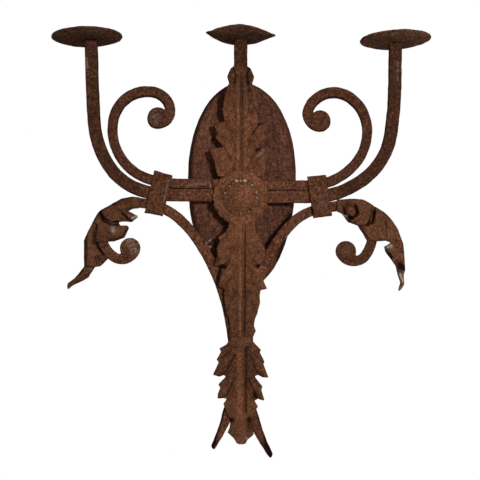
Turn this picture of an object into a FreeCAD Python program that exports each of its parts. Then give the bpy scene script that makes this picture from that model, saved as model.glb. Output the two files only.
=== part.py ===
"""Wrought-iron three-light torch sconce: a raised oval back plate, a forged stem, two side brackets of
bent bars held by wrapped collars, acanthus leaves of sheet iron, a beaded rosette and three drip pans.

Frame: millimetres, +Z up, +X to the viewer's right, the wall is the plane y = 0 and the sconce stands
out towards -Y. The origin is the point of the wall behind the rosette's bolt.
Each side bracket is forged flat, in a plane of its own that toes forward from the stem. In that plane u
runs outwards from the stem and v runs up, so that one bar is a chain of straight runs and tangent bends.
"""

import FreeCAD, Part
import math
import os
import Sketcher

Vector = FreeCAD.Vector
Rotation = FreeCAD.Rotation
Placement = FreeCAD.Placement

Y_AXIS = Vector(0, 1, 0)
Z_AXIS = Vector(0, 0, 1)
RIGHT = 1
LEFT = -1
SIDE_NAMES = {LEFT: "left", RIGHT: "right"}

# Driving dimensions, in millimetres and degrees: alias, value, meaning.
SIZES = [
    ("plate_half_width", 80.0, "back plate: half width at its widest line"),
    ("plate_rise", 143.0, "back plate: height above its widest line"),
    ("plate_drop", 169.0, "back plate: drop below its widest line"),
    ("plate_x", 1.3, "back plate: its centre line stands this far to the right of the bolt"),
    ("plate_widest_z", 32.0, "back plate: height of its widest line above the bolt"),
    ("plate_depth", 26.0, "back plate: from the wall to the raised face"),
    ("plate_flank", 7.0, "back plate: width of the sloping flank"),
    ("plate_wall", 3.0, "back plate: thickness of the iron"),
    ("plate_rim_height", 4.0, "back plate: straight rim that stands on the wall"),
    ("plate_face_round", 5.0, "back plate: rounding between face and flank"),
    ("hanging_hole_radius", 5.0, "hole that hangs on the wall hook"),
    ("hanging_hole_z", 140.0, "hanging hole: height above the bolt"),
    ("plug_x", -40.0, "plug rivet in the plate: sideways place"),
    ("plug_z", -66.0, "plug rivet in the plate: height"),
    ("plug_radius", 2.5, "plug rivet: shank radius"),
    ("plug_head_radius", 4.5, "plug rivet: head radius"),
    ("plug_head_height", 1.6, "plug rivet: head height"),
    ("bar_depth", 16.0, "depth of every bar, from its back to its front"),
    ("stem_width", 19.0, "centre stem: width"),
    ("stem_foot_z", -9.0, "centre stem: lower end"),
    ("stem_bend_z", 106.0, "centre stem: height where it bends forward"),
    ("stem_bend_radius", 100.0, "centre stem: radius of both bends"),
    ("stem_lean", 16.0, "centre stem: lean between the bends"),
    ("arm_width", 18.0, "candle arm: width of the bar"),
    ("scroll_width", 14.0, "scroll bars: width of the bar"),
    ("toe_angle", 8.0, "side brackets: how far they toe forward"),
    ("snub_radius", 14.6, "round snub end of a scroll"),
    ("spike_tip_width", 4.0, "lower scroll bars: width at the spike's tip"),
    ("tenon_radius", 5.0, "tenon that holds a pan"),
    ("tenon_head_radius", 8.0, "peened head of the tenon"),
    ("tenon_head_height", 2.0, "height of the peened head"),
    ("pan_radius", 50.0, "drip pan: rim radius"),
    ("pan_floor_radius", 30.0, "drip pan: radius of the flat floor"),
    ("pan_rise", 5.5, "drip pan: rise from floor to rim"),
    ("pan_sheet", 2.5, "drip pan: thickness"),
    ("pan_recess", 0.5, "drip pan: depth of the sunk ring round the tenon's head"),
    ("pan_recess_radius", 9.5, "drip pan: radius of the sunk ring"),
    ("left_pan_z", 220.6, "left pan: height of its seat"),
    ("centre_pan_z", 223.5, "centre pan: height of its seat"),
    ("right_pan_z", 216.8, "right pan: height of its seat"),
    ("left_pan_tilt", 2.9, "left pan: tilt, its right edge up"),
    ("right_pan_tilt", 0.8, "right pan: tilt, its right edge up"),
    ("left_pan_offset", 5.2, "left pan: hole off its centre by this much"),
    ("collar_length", 27.0, "collar: length along the bars"),
    ("collar_sheet", 3.5, "collar: thickness of the band"),
    ("collar_seam", 1.5, "collar: gap of its seam at the back"),
    ("left_collar_above", 26.6, "left collar: window above the arm's centre line"),
    ("left_collar_below", 28.1, "left collar: window below the arm's centre line"),
    ("left_collar_u", 119.0, "left collar: place along the arm"),
    ("left_collar_tilt", 13.0, "left collar: tilt"),
    ("right_collar_above", 25.6, "right collar: window above the arm's centre line"),
    ("right_collar_below", 27.9, "right collar: window below the arm's centre line"),
    ("right_collar_u", 114.5, "right collar: place along the arm"),
    ("right_collar_tilt", 8.5, "right collar: tilt"),
    ("leaf_sheet", 2.0, "leaves: thickness of the sheet iron"),
    ("strap_width", 18.0, "leaves: width of the root strap under the rosette"),
    ("leaf_drop", 2.5, "leaves: how far the edge falls back"),
    ("leaf_drop_at", 37.0, "leaves: half width where the edge has fallen back so far"),
    ("rosette_radius", 40.0, "rosette: outer radius"),
    ("rosette_flat_radius", 27.0, "rosette: radius of its flat middle"),
    ("rosette_cup", 5.0, "rosette: how far the rim stands forward"),
    ("rosette_sheet", 1.8, "rosette: thickness"),
    ("scallop_count", 18.0, "rosette: number of scallops"),
    ("scallop_notch", 2.6, "rosette: radius of the notch between two scallops"),
    ("bead_disc_radius", 26.0, "beaded disc: radius"),
    ("bead_disc_sheet", 2.6, "beaded disc: thickness"),
    ("bead_ring_radius", 23.4, "beaded disc: radius of the ring of beads"),
    ("bead_radius", 2.3, "beaded disc: bead radius"),
    ("bead_count", 24.0, "beaded disc: number of beads"),
    ("boss_radius", 19.0, "boss bolt: head radius"),
    ("boss_height", 8.5, "boss bolt: head height"),
    ("bolt_radius", 4.0, "boss bolt: shank radius"),
    ("washer_radius", 11.0, "bolt washer: radius"),
    ("washer_sheet", 2.0, "bolt washer: thickness"),
    ("nut_across_flats", 13.0, "bolt nut: size across flats"),
    ("nut_height", 6.5, "bolt nut: height"),
    ("bolt_tail", 1.5, "bolt end that stands out of the nut"),
    ("seat_gap", 0.3, "gap between two pieces that lie on each other"),
    ("hole_clearance", 0.3, "radial clearance of a shank in its hole"),
    ("edge_round", 1.2, "softened edges of the forged bars"),
]

# Runs and bends of each bar from its first end: (length, 0) is a straight run, and (radius, turn) is a
# bend, whose turn in degrees is anticlockwise in the u-v plane where it is positive.
BAR_CHAINS = {
    "left_arm": [(92.0, 0), (135.4, 18.2), (82.8, 37.4), (127.3, 30.6), (1338.0, 2.1)],
    "right_arm": [(96.2, 0), (109.7, 31.0), (340.1, 1.6), (95.1, 48.7), (521.9, 8.1)],
    "left_scroll": [(82.0, 0), (134.6, 17.1), (73.0, 87.5), (49.8, 83.3), (28.9, 70.8), (17.9, 100.7)],
    "right_scroll": [(89.2, 0), (85.2, 48.9), (70.8, 48.2), (58.1, 50.8), (38.9, 96.9), (17.7, 116.3)],
    "left_lower": [
        (295.6, -10.5), (146.6, -15.9), (469.1, -6.9), (321.9, -15.1), (308.3, -14.1), (172.8, -14.6),
        (91.0, -52.2), (42.5, -83.1), (41.4, -51.8), (19.6, -108.3),
    ],
    "right_lower": [
        (257.0, -12.5), (160.1, -17.5), (886.8, -3.1), (441.2, -10.1), (229.1, -31.4), (75.5, -35.1),
        (224.6, -12.0), (28.9, -65.8), (54.9, -59.9), (20.1, -119.8),
    ],
}

# First ends of the bars in the u-v plane: the arms and inner scrolls start at the stem and run outwards,
# and the lower bars start at the spike's tip with the heading given.
BAR_STARTS = [
    ("left_arm_v", 3.6, "left arm: height of its centre line at the stem"),
    ("right_arm_v", 1.1, "right arm: height of its centre line at the stem"),
    ("left_spike_u", 41.0, "left spike: tip, outwards"),
    ("left_spike_v", -362.5, "left spike: tip, height"),
    ("left_spike_heading", 119.8, "left spike: heading at the tip"),
    ("right_spike_u", 45.3, "right spike: tip, outwards"),
    ("right_spike_v", -374.8, "right spike: tip, height"),
    ("right_spike_heading", 122.7, "right spike: heading at the tip"),
]

# Each side of a centre leaf's outline as (distance from the spine, height), from its root to its tip.
# The upper leaf is the same on both sides. The straps are the straight roots under the rosette, from one
# height to the other.
UPPER_STRAP = (-9, 27)
UPPER_LEAF = [
    (14, 29), (33, 31), (38, 52), (45, 69), (25, 73), (36, 87), (33, 92), (39, 105), (23, 110), (26, 127),
    (23, 143), (20, 156), (16, 162), (19, 171), (14, 182), (6, 188), (0, 192),
]
LOWER_STRAP = (9, -11)
LOWER_LEFT = [
    (16, -33), (17, -43), (23, -51), (32, -57), (30, -63), (34, -73), (33, -84), (39, -97), (27, -99),
    (32, -111), (33, -127), (23, -132), (24, -142), (22, -156), (20, -167), (16, -177), (15.5, -187),
    (16.5, -208),
]
LOWER_RIGHT = [
    (21, -35), (22, -50), (27, -58), (33, -66), (35, -76), (33.5, -88), (28, -96), (38, -101), (37, -108),
    (32.5, -120), (37.5, -131), (28.5, -133), (27, -140), (27.5, -151), (25, -160), (23.5, -167),
    (20, -175), (18.5, -184), (21.5, -192), (16.5, -203), (16.5, -208),
]
TAIL_LEFT = [
    (14, -200), (16, -206), (21, -212), (30, -217), (28, -222), (34, -233), (31, -237), (39.5, -255),
    (31, -257.5), (24, -255), (21, -258), (31.5, -269), (29, -274), (32.5, -282), (33, -289), (25, -288),
    (19, -290), (24.5, -297), (22.5, -303), (19, -312), (14.5, -321), (15.5, -331), (18.5, -338),
    (9.5, -346), (5.5, -353), (1.5, -355.5),
]
TAIL_RIGHT = [
    (14, -200), (15, -204), (22, -212), (28.5, -219), (27, -223), (34, -236), (32.5, -240), (39.5, -259),
    (32, -258.5), (24.5, -255), (20, -258), (31, -272), (29.5, -277), (34, -292), (24.5, -289),
    (19.5, -293), (24.5, -301), (22, -305), (18, -314), (15, -322), (17, -333), (18.5, -341), (10, -348),
    (6.5, -354), (1.5, -355.5),
]
# Spine of each draped leaf: (height, how far the leaf's back is bent forward of the bars there).
UPPER_SPINE = [(24, 0), (60, 0)]
LOWER_SPINE = [(9, 0), (-11, 0), (-60, 5.5), (-100, 8.6), (-140, 7.5), (-180, 5.0), (-208, 3.9)]
TAIL_SPINE = [(-200, 6.4), (-214, 6.2), (-240, 4.4), (-290, 3.9), (-355, 3.9)]

# Sections of the upper leaf over the stem's forward bend.
CLIMB_STEPS = 6
# The tenon starts this many edge roundings below its seat, inside the bar.
TENON_ROOT = 2
# Share of its rise that a dished rim has reached halfway out.
RIM_SHOULDER = 0.3
# Lengths below which two points are one, two planes are one, and a cut's volume is nothing.
SAME_POINT = 1e-6
SAME_PLANE = 1e-4
NO_VOLUME = 1e-3

# Outlines of the side leaves as (u, v), once round.
LEFT_SIDE_LEAF = [
    (147, -2), (157, -1), (171, -4), (182, -11), (194, -18), (201, -22), (210, -38), (222, -62),
    (222, -99), (235, -116), (243, -121), (244, -128), (240, -124), (227, -118), (218, -113),
    (209, -98), (201, -97), (191, -87), (196, -82), (205, -67), (203, -63), (182, -62), (168, -57),
    (162, -44), (164, -42), (173, -42), (178, -36), (171, -34), (157, -35), (149, -28), (165, -21),
    (156, -16), (147, -15),
]
RIGHT_SIDE_LEAF = [
    (140, -5), (162, -4), (175, -5), (183, -9), (192, -15), (204, -24), (215, -36), (223, -47),
    (230, -66), (232, -89), (233, -103), (231, -111), (232, -123), (226, -131), (229, -121),
    (225, -110), (222, -97), (212, -83), (207, -76), (205, -71), (217, -65), (207, -61), (194, -62),
    (181, -60), (176, -51), (169, -40), (155, -35), (150, -25), (147, -22), (140, -20),
]

doc = FreeCAD.newDocument("TorchSconce")
sheet = doc.addObject("Spreadsheet::Sheet", "Sizes")


def fill_sheet():
    """Writes every driving dimension to the sheet, one row each: meaning, value and alias."""
    rows = list(SIZES) + list(BAR_STARTS)
    for bar, chain in BAR_CHAINS.items():
        for number, (length, turn) in enumerate(chain, 1):
            if turn:
                rows.append((f"{bar}_bend_{number}_radius", length, "radius of a bend"))
                rows.append((f"{bar}_bend_{number}_turn", turn, "turn of a bend"))
            else:
                rows.append((f"{bar}_run_{number}", length, "length of a straight run"))
    for row, (alias, value, meaning) in enumerate(rows, 1):
        sheet.set(f"A{row}", meaning)
        sheet.set(f"B{row}", str(float(value)))
        sheet.setAlias(f"B{row}", alias)
    doc.recompute()


def size(alias):
    return float(sheet.get(alias))


def leaf_drop(half_width):
    """How far a draped leaf's sheet has fallen back at this distance from its spine."""
    return size("leaf_drop") * (half_width / size("leaf_drop_at")) ** 2


fill_sheet()

# Places worked out from the driving dimensions.
PLATE_DEPTH = size("plate_depth")
BAR_DEPTH = size("bar_depth")
GAP = size("seat_gap")
BAR_MID_Y = -(PLATE_DEPTH + BAR_DEPTH / 2)
BAR_FRONT_Y = -(PLATE_DEPTH + BAR_DEPTH)
TOE = size("toe_angle")
LEAF = size("leaf_sheet")
LEAF_SEAT_Y = BAR_FRONT_Y - GAP - leaf_drop(size("stem_width") / 2)
STRAP_STEP = LEAF + GAP + leaf_drop(size("strap_width") / 2)
ROSETTE_BACK_Y = LEAF_SEAT_Y - STRAP_STEP - LEAF - GAP
DISC_BACK_Y = ROSETTE_BACK_Y - size("rosette_sheet") - GAP
BOSS_BACK_Y = DISC_BACK_Y - size("bead_disc_sheet") - GAP
BRACKET_START_U = (size("stem_width") / 2 + GAP) / math.cos(math.radians(TOE))
BRACKET_START_U += BAR_DEPTH / 2 * math.tan(math.radians(TOE))
BOLT_HOLE = size("bolt_radius") + size("hole_clearance")
# Longer than everything that stands in front of the wall along the bolt.
THROUGH = 2 * PLATE_DEPTH + 3 * BAR_DEPTH


# Document helpers.
def new_body(name):
    body = doc.addObject("PartDesign::Body", name)
    body.Label = name
    return body


def origin_feature(body, role):
    return next(item for item in body.Origin.OriginFeatures if item.Role == role)


def sketch_on(body, name, role, offset=Vector(0, 0, 0)):
    """A sketch on one of the body's own origin planes, moved by offset in the sketch's own axes."""
    sketch = body.newObject("Sketcher::SketchObject", name)
    sketch.AttachmentSupport = [(origin_feature(body, role), "")]
    sketch.MapMode = "FlatFace"
    sketch.AttachmentOffset = Placement(offset, Rotation())
    return sketch


def join_ends(sketch, first, last):
    """Coincident constraints between each geometry and the next, round a closed outline."""
    numbers = list(range(first, last + 1))
    for here, there in zip(numbers, numbers[1:] + numbers[:1]):
        for end in (1, 2):
            for start in (1, 2):
                gap = sketch.getPoint(here, end) - sketch.getPoint(there, start)
                if gap.Length < SAME_POINT:
                    sketch.addConstraint(Sketcher.Constraint("Coincident", here, end, there, start))
                    break
            else:
                continue
            break


def add_outline(sketch, edges):
    first = sketch.addGeometry(edges[0], False)
    last = first
    for edge in edges[1:]:
        last = sketch.addGeometry(edge, False)
    join_ends(sketch, first, last)
    return first


def polygon(points):
    flat = [Vector(x, y, 0) for x, y in points]
    return [Part.LineSegment(a, b) for a, b in zip(flat, flat[1:] + flat[:1])]


def add_circle(sketch, radius_alias, x=0.0, y=0.0, extra=""):
    """A circle whose radius is bound to the sheet; extra is added to the bound expression."""
    radius = size(radius_alias) + (size(extra) if extra else 0)
    number = sketch.addGeometry(Part.Circle(Vector(x, y, 0), Z_AXIS, radius), False)
    constraint = sketch.addConstraint(Sketcher.Constraint("Radius", number, radius))
    expression = f"Sizes.{radius_alias}" + (f" + Sizes.{extra}" if extra else "")
    sketch.setExpression(f"Constraints[{constraint}]", expression)
    return number


def pad(body, name, sketch, length, both_ways=False, backwards=False):
    """A pad whose length is an expression on the sheet."""
    feature = body.newObject("PartDesign::Pad", name)
    feature.Profile = sketch
    feature.setExpression("Length", length)
    if both_ways:
        feature.SideType = "Symmetric"
    feature.Reversed = backwards
    doc.recompute()
    return feature


def pocket(body, name, sketch, length, both_ways=False, backwards=False):
    """A pocket that has to take something away, so its volume is compared."""
    before = body.Shape.Volume
    feature = body.newObject("PartDesign::Pocket", name)
    feature.Profile = sketch
    feature.setExpression("Length", length)
    if both_ways:
        feature.SideType = "Symmetric"
    feature.Reversed = backwards
    doc.recompute()
    if not feature.Shape.Volume < before - NO_VOLUME:
        raise RuntimeError(f"{body.Label}: {name} cuts nothing")
    return feature


def revolve(body, name, sketch, axis="V_Axis"):
    feature = body.newObject("PartDesign::Revolution", name)
    feature.Profile = sketch
    feature.ReferenceAxis = (sketch, [axis])
    feature.Angle = 360
    doc.recompute()
    return feature


def polar(body, name, feature, axis_role, count_alias):
    pattern = body.newObject("PartDesign::PolarPattern", name)
    pattern.Originals = [feature]
    pattern.Axis = (origin_feature(body, axis_role), [""])
    pattern.Angle = 360
    pattern.setExpression("Occurrences", f"Sizes.{count_alias}")
    body.Tip = pattern
    doc.recompute()
    return pattern


def soften(body, feature):
    """Rounds every edge of a forged bar a little, as hammer and scale leave them."""
    rounding = body.newObject("PartDesign::Fillet", "SoftEdges")
    rounding.Base = (feature, ["Edge1"])
    rounding.UseAllEdges = True
    rounding.setExpression("Radius", "Sizes.edge_round")
    doc.recompute()
    return rounding


def bracket_placement(side):
    """Stands a flat-forged bracket at its height in front of the plate and toes it forward."""
    return Placement(Vector(0, BAR_MID_Y, 0), Rotation(Z_AXIS, -side * TOE))


# Bars: a chain of runs and bends in the plane, with the bar's edges offset to both sides.
def at(point, heading, sideways):
    """The point moved to the left of the heading by sideways."""
    angle = math.radians(heading)
    return (point[0] - sideways * math.sin(angle), point[1] + sideways * math.cos(angle))


def travel(point, heading, length, turn):
    """The end of a straight run or a bend that starts at point."""
    if not turn:
        angle = math.radians(heading)
        return (point[0] + length * math.cos(angle), point[1] + length * math.sin(angle)), heading
    radius = math.copysign(length, turn)
    centre = at(point, heading, radius)
    return at(centre, heading + turn, -radius), heading + turn


def chain_sizes(bar):
    """The bar's runs and bends, read back from the sheet."""
    pieces = []
    for number, (length, turn) in enumerate(BAR_CHAINS[bar], 1):
        if turn:
            radius = size(f"{bar}_bend_{number}_radius")
            pieces.append((radius, size(f"{bar}_bend_{number}_turn")))
        else:
            pieces.append((size(f"{bar}_run_{number}"), 0.0))
    return pieces


def walk(start, heading, pieces):
    """Stations along the chain: (point, heading) at each piece's start, and the last end."""
    stations = [(start, heading)]
    for length, turn in pieces:
        stations.append(travel(*stations[-1], length, turn))
    return stations


def bar_outline(stations, pieces, half_widths, side):
    """Closed outline of a bar whose half width is given at each station."""
    def edge(hand):
        parts = []
        for (begin, end, piece, w0, w1) in zip(
            stations, stations[1:], pieces, half_widths, half_widths[1:]
        ):
            length, turn = piece
            a = at(*begin, hand * w0)
            b = at(*end, hand * w1)
            if turn:
                middle = travel(*begin, length, turn / 2)
                m = at(*middle, hand * (w0 + w1) / 2)
                parts.append((a, m, b))
            else:
                parts.append((a, None, b))
        return parts

    def drawn(a, m, b):
        first, last = Vector(side * a[0], a[1], 0), Vector(side * b[0], b[1], 0)
        if m is None:
            return Part.LineSegment(first, last)
        return Part.Arc(first, Vector(side * m[0], m[1], 0), last)

    left_edge = edge(1)
    right_edge = [(b, m, a) for a, m, b in reversed(edge(-1))]
    far_cap = (left_edge[-1][2], None, right_edge[0][0])
    near_cap = (right_edge[-1][2], None, left_edge[0][0])
    return [drawn(*item) for item in left_edge + [far_cap] + right_edge + [near_cap]]


def bind_bends(sketch, bar, first, count, width_alias, skip=0):
    """Binds the radii of a bar's edges to the sheet; a tapered piece is left out by skip."""
    for number, (length, turn) in enumerate(BAR_CHAINS[bar], 1):
        if not turn or number <= skip:
            continue
        for hand in (1, -1):
            index = first + number - 1 if hand == 1 else first + 2 * count + 1 - number
            radius = sketch.Geometry[index].Radius
            wider = -hand * math.copysign(1, turn)
            sign = "+" if wider > 0 else "-"
            constraint = sketch.addConstraint(Sketcher.Constraint("Radius", index, radius))
            expression = f"Sizes.{bar}_bend_{number}_radius {sign} Sizes.{width_alias} / 2"
            sketch.setExpression(f"Constraints[{constraint}]", expression)


def bar_body(name, bar, side, start, heading, width_alias, end_v=None, tip_alias=None, snub=False):
    """One forged bar of a side bracket, drawn flat and padded to both sides of its middle plane."""
    body = new_body(name)
    pieces = chain_sizes(bar)
    stations = walk(start, heading, pieces)
    if end_v is not None:
        point, last_heading = stations[-1]
        run = (end_v - point[1]) / math.sin(math.radians(last_heading))
        pieces.append((run, 0.0))
        stations.append(travel(point, last_heading, run, 0))
    half = size(width_alias) / 2
    half_widths = [half] * len(stations)
    if tip_alias:
        half_widths[0] = size(tip_alias) / 2
    sketch = sketch_on(body, "BarOutline", "XZ_Plane")
    first = add_outline(sketch, bar_outline(stations, pieces, half_widths, side))
    bind_bends(sketch, bar, first, len(pieces), width_alias, skip=1 if tip_alias else 0)
    doc.recompute()
    feature = pad(body, "Bar", sketch, "Sizes.bar_depth", both_ways=True)
    if not tip_alias:
        soften(body, feature)
    if snub:
        point, last_heading = stations[-1]
        inwards = math.copysign(1, pieces[-1][1])
        centre = at(point, last_heading, inwards * (size("snub_radius") - half))
        round_end = sketch_on(body, "SnubOutline", "XZ_Plane")
        add_circle(round_end, "snub_radius", side * centre[0], centre[1])
        pad(body, "Snub", round_end, "Sizes.bar_depth", both_ways=True)
    body.Placement = bracket_placement(side)
    return body, stations


def dome_height(rim_radius, rise, radius):
    """Height above its rim plane of a round dome that rises so far, at this radius from its middle."""
    sphere = (rim_radius**2 + rise**2) / (2 * rise)
    return rise - sphere + math.sqrt(sphere**2 - radius**2)


def add_tenon(body, x, forward, seat_z, head_z):
    """A round tenon through the pan's hole, with its peened head just above the pan's floor."""
    radius = size("tenon_radius")
    head = size("tenon_head_radius")
    height = size("tenon_head_height")
    root_z = seat_z - TENON_ROOT * size("edge_round")
    sketch = sketch_on(body, "TenonProfile", "XZ_Plane", Vector(x, 0, forward))
    corners = [(0, root_z), (radius, root_z), (radius, head_z), (head, head_z)]
    points = [Vector(r, z, 0) for r, z in corners]
    crown = Vector(0, head_z + height, 0)
    half_way = Vector(head / 2, head_z + dome_height(head, height, head / 2), 0)
    edges = [Part.LineSegment(a, b) for a, b in zip(points, points[1:])]
    edges.append(Part.Arc(points[-1], half_way, crown))
    edges.append(Part.LineSegment(crown, points[0]))
    add_outline(sketch, edges)
    return revolve(body, "Tenon", sketch)


def pan_lift(tilt, hole_offset):
    """How far a tilted pan's middle stands above its seat, so that it rests on the bar's low corner."""
    corner = math.hypot(size("arm_width"), BAR_DEPTH) / 2
    return math.tan(math.radians(tilt)) * (corner - hole_offset)


def pan_head_z(seat_z, tilt=0.0, hole_offset=0.0):
    """Where a peened head clears the floor of a pan that sits at seat_z with this tilt."""
    slope = math.tan(math.radians(tilt))
    floor_rise = slope * (size("tenon_head_radius") + hole_offset)
    recess_floor = size("pan_sheet") - size("pan_recess")
    return seat_z + pan_lift(tilt, hole_offset) + floor_rise + recess_floor + GAP


# Pieces.
def oval(half_width, rise, drop):
    """Two half ellipses that meet on the plate's widest line."""
    middle = Vector(size("plate_x"), size("plate_widest_z"), 0)
    top = Part.Ellipse(middle + Vector(0, rise, 0), middle + Vector(-half_width, 0, 0), middle)
    foot = Part.Ellipse(middle + Vector(0, -drop, 0), middle + Vector(half_width, 0, 0), middle)
    quarter = math.pi / 2
    return [Part.ArcOfEllipse(top, -quarter, quarter), Part.ArcOfEllipse(foot, -quarter, quarter)]


def oval_sketch(body, name, inset, forward):
    """The plate's outline drawn in by inset, on a plane that lies forward of the wall."""
    sketch = sketch_on(body, name, "XZ_Plane", Vector(0, 0, forward))
    outline = oval(
        size("plate_half_width") - inset, size("plate_rise") - inset, size("plate_drop") - inset
    )
    add_outline(sketch, outline)
    doc.recompute()
    return sketch


def loft(body, kind, name, first, last):
    feature = body.newObject(f"PartDesign::{kind}", name)
    feature.Profile = first
    feature.Sections = [last]
    feature.Ruled = True
    doc.recompute()
    return feature


def flat_edges(shape, y):
    """Names of the edges that lie wholly in the plane at this y."""
    names = []
    for number, edge in enumerate(shape.Edges, 1):
        box = edge.BoundBox
        if abs(box.YMin - y) < SAME_PLANE and abs(box.YMax - y) < SAME_PLANE:
            names.append(f"Edge{number}")
    return names


def round_plate_face(body, feature, name, y, radius):
    rounding = body.newObject("PartDesign::Fillet", name)
    rounding.Base = (feature, flat_edges(feature.Shape, y))
    rounding.setExpression("Radius", radius)
    doc.recompute()
    return rounding


def make_back_plate():
    """A raised oval shell: straight rim on the wall, sloping flank, flat face with a rounded edge."""
    body = new_body("back_plate")
    wall = size("plate_wall")
    rim = size("plate_rim_height")
    flank = size("plate_flank")
    slope = flank / (PLATE_DEPTH - rim)
    outer = oval_sketch(body, "RimOutline", 0, 0)
    pad(body, "Rim", outer, "Sizes.plate_rim_height")
    skirt = oval_sketch(body, "SkirtOutline", 0, rim)
    face = oval_sketch(body, "FaceOutline", flank, PLATE_DEPTH)
    flank_solid = loft(body, "AdditiveLoft", "Flank", skirt, face)
    round_plate_face(body, flank_solid, "FaceRound", -PLATE_DEPTH, "Sizes.plate_face_round")
    inner = oval_sketch(body, "RimHollow", wall, 0)
    pocket(body, "RimPocket", inner, "Sizes.plate_rim_height", backwards=True)
    inner_skirt = oval_sketch(body, "SkirtHollow", wall, rim)
    inner_inset = wall + slope * (PLATE_DEPTH - wall - rim)
    inner_face = oval_sketch(body, "FaceHollow", inner_inset, PLATE_DEPTH - wall)
    loft(body, "SubtractiveLoft", "Hollow", inner_skirt, inner_face)
    holes = sketch_on(body, "Holes", "XZ_Plane")
    add_circle(holes, "bolt_radius", 0, 0, extra="hole_clearance")
    add_circle(holes, "hanging_hole_radius", 0, size("hanging_hole_z"))
    add_circle(holes, "plug_radius", size("plug_x"), size("plug_z"), extra="hole_clearance")
    doc.recompute()
    pocket(body, "HolePockets", holes, "Sizes.plate_depth + Sizes.plate_wall", backwards=True)
    return body


def turned_piece(name, corners, place):
    """A piece of round section about an axis square to the wall; corners are (radius, y)."""
    body = new_body(name)
    sketch = sketch_on(body, "Profile", "XY_Plane")
    add_outline(sketch, polygon(corners))
    doc.recompute()
    revolve(body, "Turned", sketch)
    body.Placement = Placement(place, Rotation())
    return body


def make_plug_rivet():
    radius = size("plug_radius")
    head = size("plug_head_radius")
    face = -PLATE_DEPTH - GAP
    front = face - size("plug_head_height")
    back = -PLATE_DEPTH + size("plate_wall") + size("plug_head_height")
    crown = radius
    corners = [(0, back), (radius, back), (radius, face), (head, face), (crown, front), (0, front)]
    return turned_piece("plate_plug_rivet", corners, Vector(size("plug_x"), 0, size("plug_z")))


def stem_stations():
    """Side view of the stem as (y, z): upright, forward bend, lean, bend back to upright."""
    foot = (BAR_MID_Y, size("stem_foot_z"))
    lean = size("stem_lean")
    radius = size("stem_bend_radius")
    pieces = [(size("stem_bend_z") - foot[1], 0.0), (radius, lean)]
    climbed = walk(foot, 90, pieces)[-1]
    bend_rise = radius * math.sin(math.radians(lean))
    run = (size("centre_pan_z") - bend_rise - climbed[0][1]) / math.cos(math.radians(lean))
    pieces += [(run, 0.0), (radius, -lean)]
    return walk(foot, 90, pieces), pieces


def make_centre_stem():
    body = new_body("centre_stem")
    stations, pieces = stem_stations()
    sketch = sketch_on(body, "SideView", "YZ_Plane")
    add_outline(sketch, bar_outline(stations, pieces, [BAR_DEPTH / 2] * len(stations), RIGHT))
    doc.recompute()
    bar = pad(body, "Bar", sketch, "Sizes.stem_width", both_ways=True)
    soften(body, bar)
    hole = sketch_on(body, "BoltHole", "XZ_Plane")
    add_circle(hole, "bolt_radius", 0, 0, extra="hole_clearance")
    doc.recompute()
    pocket(body, "BoltPocket", hole, "Sizes.plate_depth + 2 * Sizes.bar_depth", backwards=True)
    top_y = stations[-1][0][0]
    seat_z = size("centre_pan_z")
    add_tenon(body, 0, -top_y, seat_z, pan_head_z(seat_z))
    return Vector(0, top_y, seat_z)


def make_arm(side):
    """Crossbar, quarter bend and upright in one bar, with the tenon that carries the pan.

    The pan's seat is the higher corner of the bar's end, which is cut square to its last heading.
    """
    name = SIDE_NAMES[side]
    seat_z = size(f"{name}_pan_z")
    start = (BRACKET_START_U, size(f"{name}_arm_v"))
    body, stations = bar_body(
        f"{name}_candle_arm", f"{name}_arm", side, start, 0, "arm_width", end_v=seat_z
    )
    (top_u, _), top_heading = stations[-1]
    seat_z += size("arm_width") / 2 * abs(math.cos(math.radians(top_heading)))
    tilt = size(f"{name}_pan_tilt")
    offset = size("left_pan_offset") if side == LEFT else 0.0
    add_tenon(body, side * top_u, 0, seat_z, pan_head_z(seat_z, tilt, offset))
    return bracket_placement(side).multVec(Vector(side * top_u, 0, seat_z)), stations


def make_inner_scroll(side):
    name = SIDE_NAMES[side]
    rise = (size("arm_width") + size("scroll_width")) / 2 + GAP
    start = (BRACKET_START_U, size(f"{name}_arm_v") + rise)
    bar_body(f"{name}_inner_scroll", f"{name}_scroll", side, start, 0, "scroll_width", snub=True)


def make_lower_scroll(side):
    name = SIDE_NAMES[side]
    start = (size(f"{name}_spike_u"), size(f"{name}_spike_v"))
    bar_body(
        f"{name}_lower_scroll", f"{name}_lower", side, start, size(f"{name}_spike_heading"),
        "scroll_width", tip_alias="spike_tip_width", snub=True,
    )


def bar_height_at(stations, pieces, u):
    """Height of a bar's centre line at u, found on its run or bend there."""
    for (begin, heading), (end, _), (length, turn) in zip(stations, stations[1:], pieces):
        if not begin[0] <= u <= end[0]:
            continue
        if not turn:
            return begin[1] + (u - begin[0]) * math.tan(math.radians(heading))
        centre = at(begin, heading, math.copysign(length, turn))
        below = -math.copysign(1, turn)
        return centre[1] + below * math.sqrt(length**2 - (u - centre[0]) ** 2)
    raise ValueError("the collar lies beyond the bar")


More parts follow.
